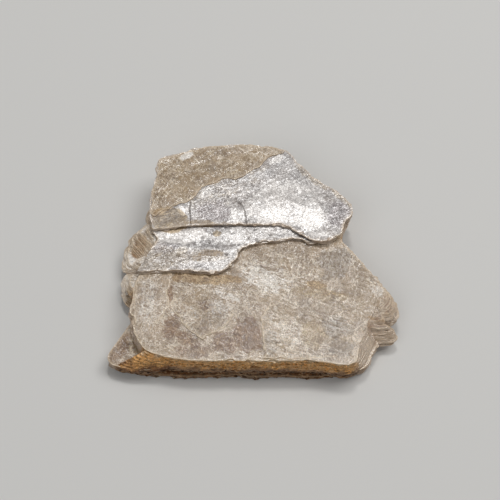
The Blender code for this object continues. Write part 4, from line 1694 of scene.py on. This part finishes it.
@dataclass(frozen=True)
class CleavageFinish:
    """A cleavage face of muscovite, split by hand along its sheets.

    The eye sees cloudy sheets through a glossy surface: soft mottling and fine pale grain, fine
    winding lines where air has come between the sheets, ragged patches of stain and of the frost
    field, which is white frost and, over the slants of the strip and the back plate, a painted
    highlight of the key light, and small flakes that each catch the light at their own tilt. The
    flakes' size and the rub's depth are in millimetres, and the ridges' height is a multiple of
    the rub's.
    """

    name: str
    face: Face
    light: str
    dark: str
    warm: str
    rim_and_highlight: str
    grain: Point = (0.84, 1.16)
    lines: tuple[HairLines, ...] = ()
    roughness: float = 0.5
    metallic: float = 0.0
    coat: float = 0.5
    coat_roughness: float = 0.10
    dullest: float = 0.3
    flake: float = 0.45
    flake_tilt: float = 0.16
    rub: float = 0.03
    ridges: float = 1.0
    ridge_turn: float = -24.0
    tints: tuple[tuple[Tint, str, float], ...] = ()

    def colour(self, tree: bpy.types.NodeTree,
               mm: bpy.types.NodeSocket) -> bpy.types.NodeSocket:
        """Build the colour of the face.

        Args:
            tree: the material's nodes.
            mm: the position in millimetres.

        Returns:
            The colour.
        """
        # Clouds 5 mm across, light and dark, with warm tones that change over 9 mm.
        cloud = add_node(tree, "ShaderNodeTexNoise", {
            "Vector": mm, "Scale": 1.0 / 5.0, "Detail": 6.0, "Roughness": 0.7})
        tone = add_node(tree, "ShaderNodeValToRGB", {0: cloud.outputs[0]},
                        [(0.36, self.dark), (0.62, self.light)])
        hue = add_node(tree, "ShaderNodeTexNoise", {
            "Vector": mm, "Scale": 1.0 / 9.0, "Detail": 3.0, "Roughness": 0.6})
        warmth = add_node(tree, "ShaderNodeMapRange", {
            0: hue.outputs[0], 1: 0.42, 2: 0.62, 4: 0.75})
        over = [(warmth.outputs[0], self.warm, "MIX")]
        over += [(lines.amount_of(tree, mm), lines.colour, "MIX") for lines in self.lines]

        # Patches of stain and of the frost field, which is partly painted highlight, whose borders
        # are ragged by grain 1.2 mm across and finer.
        speck = add_node(tree, "ShaderNodeTexNoise", {
            "Vector": mm, "Scale": 1.0 / 1.2, "Detail": 5.0, "Roughness": 0.85})
        for tint, shade, strength in self.tints:
            weight = add_node(tree, "ShaderNodeAttribute", attribute_name=tint.value)
            ragged = add_node(tree, "ShaderNodeMath", {
                0: speck.outputs[0], 1: 1.8, 2: weight.outputs["Fac"]}, operation="MULTIPLY_ADD")
            amount = add_node(tree, "ShaderNodeMapRange", {
                0: ragged.outputs[0], 1: 1.20, 2: 1.60, 3: 0.0, 4: strength})
            # The frost field lightens towards white: partly white frost, partly a painted highlight
            # of the key light.
            over.append((amount.outputs[0], shade, "MIX" if tint is Tint.FROST_AND_HIGHLIGHT else "MULTIPLY"))
        colour = tone.outputs[0]
        for amount, shade, blend in over:
            colour = add_node(tree, "ShaderNodeMix", {0: amount, 6: colour, 7: linear(shade)},
                              data_type="RGBA", blend_type=blend).outputs[2]

        # Grain 0.32 mm across, drawn coarser than it is so that it shows.
        grit = add_node(tree, "ShaderNodeTexNoise", {
            "Vector": mm, "Scale": 1.0 / 0.32, "Detail": 2.0, "Roughness": 0.6})
        grain = add_node(tree, "ShaderNodeMapRange", {
            0: grit.outputs[0], 1: 0.30, 2: 0.70, 3: self.grain[0], 4: self.grain[1]})
        colour = add_node(tree, "ShaderNodeVectorMath", {0: colour, "Scale": grain.outputs[0]},
                          operation="SCALE").outputs[0]

        # The pale rim of each sheet, chipped by the same specks: partly the pale frayed edge,
        # partly a painted highlight where the edge catches the light.
        edge = add_node(tree, "ShaderNodeAttribute", attribute_name="rim_and_highlight")
        chipped = add_node(tree, "ShaderNodeMapRange", {
            0: speck.outputs[0], 1: 0.36, 2: 0.54, 3: 0.25, 4: 1.0})
        lip = add_node(tree, "ShaderNodeMath", {
            0: edge.outputs["Fac"], 1: chipped.outputs[0]}, operation="MULTIPLY")
        return add_node(tree, "ShaderNodeMix", {
            0: lip.outputs[0], 6: colour, 7: linear(self.rim_and_highlight)}, data_type="RGBA").outputs[2]

    def facing(self, tree: bpy.types.NodeTree,
               mm: bpy.types.NodeSocket) -> bpy.types.NodeSocket:
        """Build the face's normal, with tilted flakes, ridges and a rub.

        Args:
            tree: the material's nodes.
            mm: the position in millimetres.

        Returns:
            The normal.
        """
        # Flakes that each lean their own way.
        flakes = add_node(tree, "ShaderNodeTexVoronoi", {"Vector": mm, "Scale": 1.0 / self.flake})
        lean = add_node(tree, "ShaderNodeVectorMath", {
            0: flakes.outputs["Color"], 1: (0.5, 0.5, 0.5)}, operation="SUBTRACT")
        leaned = add_node(tree, "ShaderNodeVectorMath", {
            0: lean.outputs[0], "Scale": self.flake_tilt}, operation="SCALE")
        surface = add_node(tree, "ShaderNodeNewGeometry")
        tilted = add_node(tree, "ShaderNodeVectorMath", {
            0: surface.outputs["Normal"], 1: leaned.outputs[0]}, operation="ADD")
        facing = add_node(tree, "ShaderNodeVectorMath", {0: tilted.outputs[0]},
                          operation="NORMALIZE")

        # The rub of handling, 0.4 mm across.
        rub = add_node(tree, "ShaderNodeTexNoise", {
            "Vector": mm, "Scale": 1.0 / 0.4, "Detail": 4.0, "Roughness": 0.7})

        # Ridges 4 mm long and 0.5 mm apart.
        laid = add_node(tree, "ShaderNodeMapping", {
            "Vector": mm, "Rotation": (0.0, 0.0, math.radians(self.ridge_turn)),
            "Scale": (4.0, 0.5, 3.0)}, vector_type="TEXTURE")
        ridge = add_node(tree, "ShaderNodeTexNoise", {
            "Vector": laid.outputs[0], "Scale": 1.0, "Detail": 4.0, "Roughness": 0.6,
            "Distortion": 0.4})
        height = add_node(tree, "ShaderNodeMath", {
            0: ridge.outputs[0], 1: self.ridges, 2: rub.outputs[0]}, operation="MULTIPLY_ADD")
        return add_node(tree, "ShaderNodeBump", {
            "Strength": 1.0, "Distance": self.rub * MM, "Height": height.outputs[0],
            "Normal": facing.outputs[0]}).outputs[0]

    def material(self) -> bpy.types.Material:
        """Build the finish.

        Returns:
            The material.
        """
        made, mm = started(self.name)
        tree = made.node_tree
        facing = self.facing(tree, mm)

        # Stain takes most of the gloss and the pearly shine away.
        stain = add_node(tree, "ShaderNodeAttribute", attribute_name=Tint.STAIN.value)
        mirror, clear = (add_node(tree, "ShaderNodeMapRange", {
            0: stain.outputs["Fac"], 3: full, 4: full * 0.15}).outputs[0]
            for full in (self.metallic, self.coat))

        # Dull specks 0.6 mm across break the gloss.
        dull = add_node(tree, "ShaderNodeTexNoise", {
            "Vector": mm, "Scale": 1.0 / 0.6, "Detail": 4.0, "Roughness": 0.8})
        whole = add_node(tree, "ShaderNodeMapRange", {
            0: dull.outputs[0], 1: 0.36, 2: 0.52, 3: self.dullest, 4: 1.0})
        gloss = add_node(tree, "ShaderNodeMath", {0: clear, 1: whole.outputs[0]},
                         operation="MULTIPLY").outputs[0]
        shader = add_node(tree, "ShaderNodeBsdfPrincipled", {
            "Base Color": self.colour(tree, mm), "Roughness": self.roughness,
            "Metallic": mirror, "IOR": 1.58, "Normal": facing,
            "Coat Weight": gloss, "Coat Roughness": self.coat_roughness,
            "Coat IOR": 1.58, "Coat Normal": facing})
        add_node(tree, "ShaderNodeOutputMaterial", {0: shader.outputs[0]})
        return made


@dataclass(frozen=True)
class BrokenEdgeFinish:
    """The broken side of the book: the ends of hundreds of sheets, stained with iron.

    The eye sees fine lines along the sheets, golden above and darker brown below, and clean
    pale ends where no iron has come between the sheets. The darkest band, low on the front, is
    painted shade in the recess there, over the iron's brown, and the pale top of the bands is
    partly a painted highlight of the front edge.
    """

    name: str
    face: Face
    pale: str
    gold: str
    brown: str
    dark: str
    clean: str
    clean_dark: str
    rim_and_highlight: str
    lip: float = 0.35
    roughness: float = 0.45

    def stained_and_shaded(self, tree: bpy.types.NodeTree, mm: bpy.types.NodeSocket,
                iron: bpy.types.NodeSocket) -> bpy.types.NodeSocket:
        """Build the colour of the sheet ends before their lines: iron stain, with painted shade and
        a painted highlight in its bands, over clean ends.

        Args:
            tree: the material's nodes.
            mm: the position in millimetres.
            iron: how much iron there is.

        Returns:
            The colour.
        """
        # Bands by height, whose borders wander up and down by about 1 mm over 2.5 mm.
        drift = add_node(tree, "ShaderNodeTexNoise", {
            "Vector": mm, "Scale": 1.0 / 2.5, "Detail": 3.0})
        height = add_node(tree, "ShaderNodeSeparateXYZ", {0: mm}).outputs[2]
        wander = add_node(tree, "ShaderNodeMath", {
            0: drift.outputs[0], 1: 4.4, 2: height}, operation="MULTIPLY_ADD")
        band = add_node(tree, "ShaderNodeMapRange", {0: wander.outputs[0], 1: 2.2, 2: 13.2})
        # From the foot up: pale, brown, a dark band about 2.4 mm up that is painted shade in the
        # recess low on the front, brown, gold, and at about 8.4 mm the rim colour, partly a painted
        # highlight of the top edge.
        tone = add_node(tree, "ShaderNodeValToRGB", {0: band.outputs[0]}, [
            (0.03, self.pale), (0.13, self.brown), (0.22, self.dark), (0.38, self.brown),
            (0.50, self.gold), (0.68, self.gold), (0.76, self.rim_and_highlight)])

        # Clean ends, darker in clouds 3 mm across.
        cloud = add_node(tree, "ShaderNodeTexNoise", {
            "Vector": mm, "Scale": 1.0 / 3.0, "Detail": 4.0, "Roughness": 0.6})
        clean = add_node(tree, "ShaderNodeValToRGB", {0: cloud.outputs[0]},
                         [(0.36, self.clean_dark), (0.62, self.clean)])
        return add_node(tree, "ShaderNodeMix", {
            0: iron, 6: clean.outputs[0], 7: tone.outputs[0]}, data_type="RGBA").outputs[2]

    def material(self) -> bpy.types.Material:
        """Build the finish.

        Returns:
            The material.
        """
        made, mm = started(self.name)
        tree = made.node_tree
        iron = add_node(tree, "ShaderNodeAttribute", attribute_name=Tint.IRON.value).outputs["Fac"]
        colour = self.stained_and_shaded(tree, mm, iron)

        # Sheet ends 0.24 mm apart in height and about 1 mm long, drawn coarser than real sheets
        # so that they show, and broken crumbs 0.45 mm across. Both are strong only in the iron.
        flat = add_node(tree, "ShaderNodeMapping", {"Vector": mm, "Scale": (1.0, 1.0, 1.0 / 0.24)})
        lines = add_node(tree, "ShaderNodeTexNoise", {
            "Vector": flat.outputs[0], "Scale": 1.0, "Detail": 4.0, "Roughness": 0.65})
        crumbs = add_node(tree, "ShaderNodeTexNoise", {
            "Vector": mm, "Scale": 1.0 / 0.45, "Detail": 3.0, "Roughness": 0.8})
        for pattern, (start, end), darkest, brightest in (
                (lines, (0.32, 0.68), (0.85, 0.32), (1.15, 1.65)),
                (crumbs, (0.34, 0.66), (0.90, 0.30), (1.10, 1.35))):
            low, high = (
                add_node(tree, "ShaderNodeMapRange", {0: iron, 3: clean, 4: rusty}).outputs[0]
                for clean, rusty in (darkest, brightest))
            shade = add_node(tree, "ShaderNodeMapRange", {
                0: pattern.outputs[0], 1: start, 2: end, 3: low, 4: high})
            colour = add_node(tree, "ShaderNodeVectorMath", {
                0: colour, "Scale": shade.outputs[0]}, operation="SCALE").outputs[0]

        # Painted glints where the ends of a few sheets catch the light, and the pale rim of each
        # ledge, partly a painted highlight.
        painted_glints = add_node(tree, "ShaderNodeMapRange", {
            0: lines.outputs[0], 1: 0.57, 2: 0.63, 3: 0.0, 4: 0.52})
        edge = add_node(tree, "ShaderNodeAttribute", attribute_name="rim_and_highlight")
        lip = add_node(tree, "ShaderNodeMath", {0: edge.outputs["Fac"], 1: self.lip},
                       operation="MULTIPLY")
        for amount in (painted_glints, lip):
            colour = add_node(tree, "ShaderNodeMix", {
                0: amount.outputs[0], 6: colour, 7: linear(self.rim_and_highlight)},
                data_type="RGBA").outputs[2]
        relief = add_node(tree, "ShaderNodeBump", {
            "Strength": 0.6, "Distance": 0.15 * MM, "Height": lines.outputs[0]})
        shader = add_node(tree, "ShaderNodeBsdfPrincipled", {
            "Base Color": colour, "Roughness": self.roughness, "Normal": relief.outputs[0],
            "IOR": 1.45})
        add_node(tree, "ShaderNodeOutputMaterial", {0: shader.outputs[0]})
        return made


# Weathered cleavage: the eye sees dull, warm beige with pale scratches, folds and rosy stains.
BEIGE_CLEAVAGE = CleavageFinish(
    "muscovite_beige_cleavage", Face.BEIGE, light="#b39c83", dark="#7f6a54", warm="#a68e6f",
    rim_and_highlight="#dac5a8", grain=(0.66, 1.34), coat=0.35, flake=0.40, flake_tilt=0.12,
    lines=(
        HairLines("#eadcc8", -24.0, 3.2, 1.1, 0.038, 1.00, 1.0),
        HairLines("#e6d7c3", 74.0, 2.6, 1.1, 0.038, 0.95, 9.0),
        HairLines("#604c3a", 18.0, 1.8, 1.0, 0.035, 0.70, 17.0),
        HairLines("#e6d7c3", -52.0, 2.0, 0.9, 0.035, 0.90, 23.0),
        HairLines("#fbf2e6", -23.0, 4.0, 0.8, 0.040, 1.00, 5.0, Tint.STREAKY),
        HairLines("#ddd0c2", 84.0, 3.2, 0.7, 0.050, 0.80, 7.0, Tint.FOLDED)),
    tints=(
        (Tint.GREY, "#d4d1ce", 1.0), (Tint.HONEY, "#efe8d6", 1.0), (Tint.STAIN, "#f0e2c8", 1.0),
        (Tint.ROSE, "#c7b29d", 1.0), (Tint.FROST_AND_HIGHLIGHT, "#f0e9e0", 0.90)))

# Freshly split cleavage: the eye sees grey with a soft pearly shine, and white where it flakes,
# which is partly a painted highlight of the key light.
SILVER_CLEAVAGE = CleavageFinish(
    "muscovite_pearly_cleavage", Face.SILVER, light="#9f9893", dark="#7d7672",
    warm="#978b82", rim_and_highlight="#cdb9a2", grain=(0.66, 1.34), roughness=0.36, metallic=0.12, coat=0.9,
    coat_roughness=0.20, flake=0.34, flake_tilt=0.10, rub=0.02, ridges=1.2, ridge_turn=30.0,
    lines=(
        HairLines("#6a625f", 28.0, 4.0, 0.9, 0.060, 0.75, 3.0),
        HairLines("#eae5e0", 28.0, 3.0, 0.8, 0.055, 0.80, 11.0),
        HairLines("#6c6562", -35.0, 1.6, 0.9, 0.040, 0.45, 19.0),
        HairLines("#6a625d", 86.0, 3.0, 0.9, 0.070, 0.90, 13.0, Tint.FOLDED)),
    tints=(
        (Tint.GREY, "#dcd6d9", 1.0), (Tint.HONEY, "#e6dac6", 1.0), (Tint.FROST_AND_HIGHLIGHT, "#e3dcd5", 0.7),
        (Tint.STAIN, "#e9d4b0", 1.0)))

# Broken ends of sheets: the eye sees fine layers, golden and brown in front and pale elsewhere. The
# dark colour is painted shade in the recess low on the front, and the rim colour is partly a
# painted highlight.
BROKEN_EDGE = BrokenEdgeFinish(
    "muscovite_broken_edge", Face.EDGE, pale="#6b4d36", gold="#d79f59", brown="#87562a",
    dark="#43220a", clean="#dac9b8", clean_dark="#b49d87", rim_and_highlight="#d8bf9c", roughness=0.55)


# ---------------------------------------------------------------------------------------------
# Studio
# ---------------------------------------------------------------------------------------------

# The point in the book that the camera and the lights look at, in metres.
CAMERA_TARGET = Vector((-0.00116, 0.0029, 0.005))


@dataclass(frozen=True)
class SoftLight:
    """A soft box that hangs over the floor and points at the book, in metres and watts."""

    name: str
    azimuth: float
    elevation: float
    distance: float
    width: float
    depth: float
    power: float

    def hang(self) -> None:
        """Make the light."""
        lamp = bpy.data.lights.new(self.name, "AREA")
        lamp.shape = "RECTANGLE"
        lamp.size = self.width
        lamp.size_y = self.depth
        lamp.energy = self.power
        made = bpy.data.objects.new(self.name, lamp)
        made.location = CAMERA_TARGET + direction(self.azimuth, self.elevation) * self.distance
        made.rotation_euler = (CAMERA_TARGET - made.location).to_track_quat("-Z", "Y").to_euler()
        bpy.context.scene.collection.objects.link(made)


def direction(azimuth: float, elevation: float) -> Vector:
    """Find a direction as seen from the middle of the book.

    Args:
        azimuth: degrees to the right of the front.
        elevation: degrees above the floor.

    Returns:
        The unit direction.
    """
    turn, lift = math.radians(azimuth), math.radians(elevation)
    return Vector((math.sin(turn) * math.cos(lift), -math.cos(turn) * math.cos(lift),
                   math.sin(lift)))


@dataclass
class Studio:
    """A pale floor, soft lights and the camera, in metres."""

    floor_half: float = 1.5
    floor_colour: str = "#d9d7d3"
    sky_colour: str = "#dfe3e8"
    sky_strength: float = 0.25
    camera_elevation: float = 58.0
    camera_distance: float = 0.36
    lens: float = 100.2
    lights: tuple[SoftLight, ...] = (
        SoftLight("key_light", 174.0, 67.0, 0.9, 0.14, 0.14, 1.8),
        SoftLight("top_light", 115.0, 58.0, 1.2, 0.7, 0.7, 5.5),
        SoftLight("fill_light", -35.0, 45.0, 1.2, 0.8, 0.8, 2.5),
    )

    def build(self) -> None:
        """Make the floor, the lights and the camera."""
        mesh = bpy.data.meshes.new("studio_floor")
        half = self.floor_half
        mesh.from_pydata([(-half, -half, 0), (half, -half, 0), (half, half, 0),
                          (-half, half, 0)], [], [(0, 1, 2, 3)])
        floor = bpy.data.objects.new("studio_floor", mesh)
        bpy.context.scene.collection.objects.link(floor)
        paper = bpy.data.materials.new("matte_paper")
        paper.use_nodes = True
        shader = paper.node_tree.nodes["Principled BSDF"]
        shader.inputs["Base Color"].default_value = linear(self.floor_colour)
        shader.inputs["Roughness"].default_value = 0.9
        mesh.materials.append(paper)

        world = bpy.data.worlds.new("studio_sky")
        world.use_nodes = True
        sky = world.node_tree.nodes["Background"]
        sky.inputs[0].default_value = linear(self.sky_colour)
        sky.inputs[1].default_value = self.sky_strength
        bpy.context.scene.world = world
        for light in self.lights:
            light.hang()

        lens = bpy.data.cameras.new("camera")
        lens.lens = self.lens
        camera = bpy.data.objects.new("camera", lens)
        camera.location = (CAMERA_TARGET
                           + direction(0.0, self.camera_elevation) * self.camera_distance)
        camera.rotation_euler = (
            CAMERA_TARGET - camera.location).to_track_quat("-Z", "Y").to_euler()
        bpy.context.scene.collection.objects.link(camera)
        bpy.context.scene.camera = camera
        bpy.context.scene.view_settings.view_transform = "Standard"


def main() -> None:
    """Build the book and the studio."""
    logging.basicConfig(level=logging.INFO, format="%(name)s: %(message)s")
    book = MicaBook().build()
    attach(book, BODY)
    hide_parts(NODE)
    log.info("mica_book: %d faces", len(book.data.polygons))
    Studio().build()


if __name__ == "__main__":
    main()
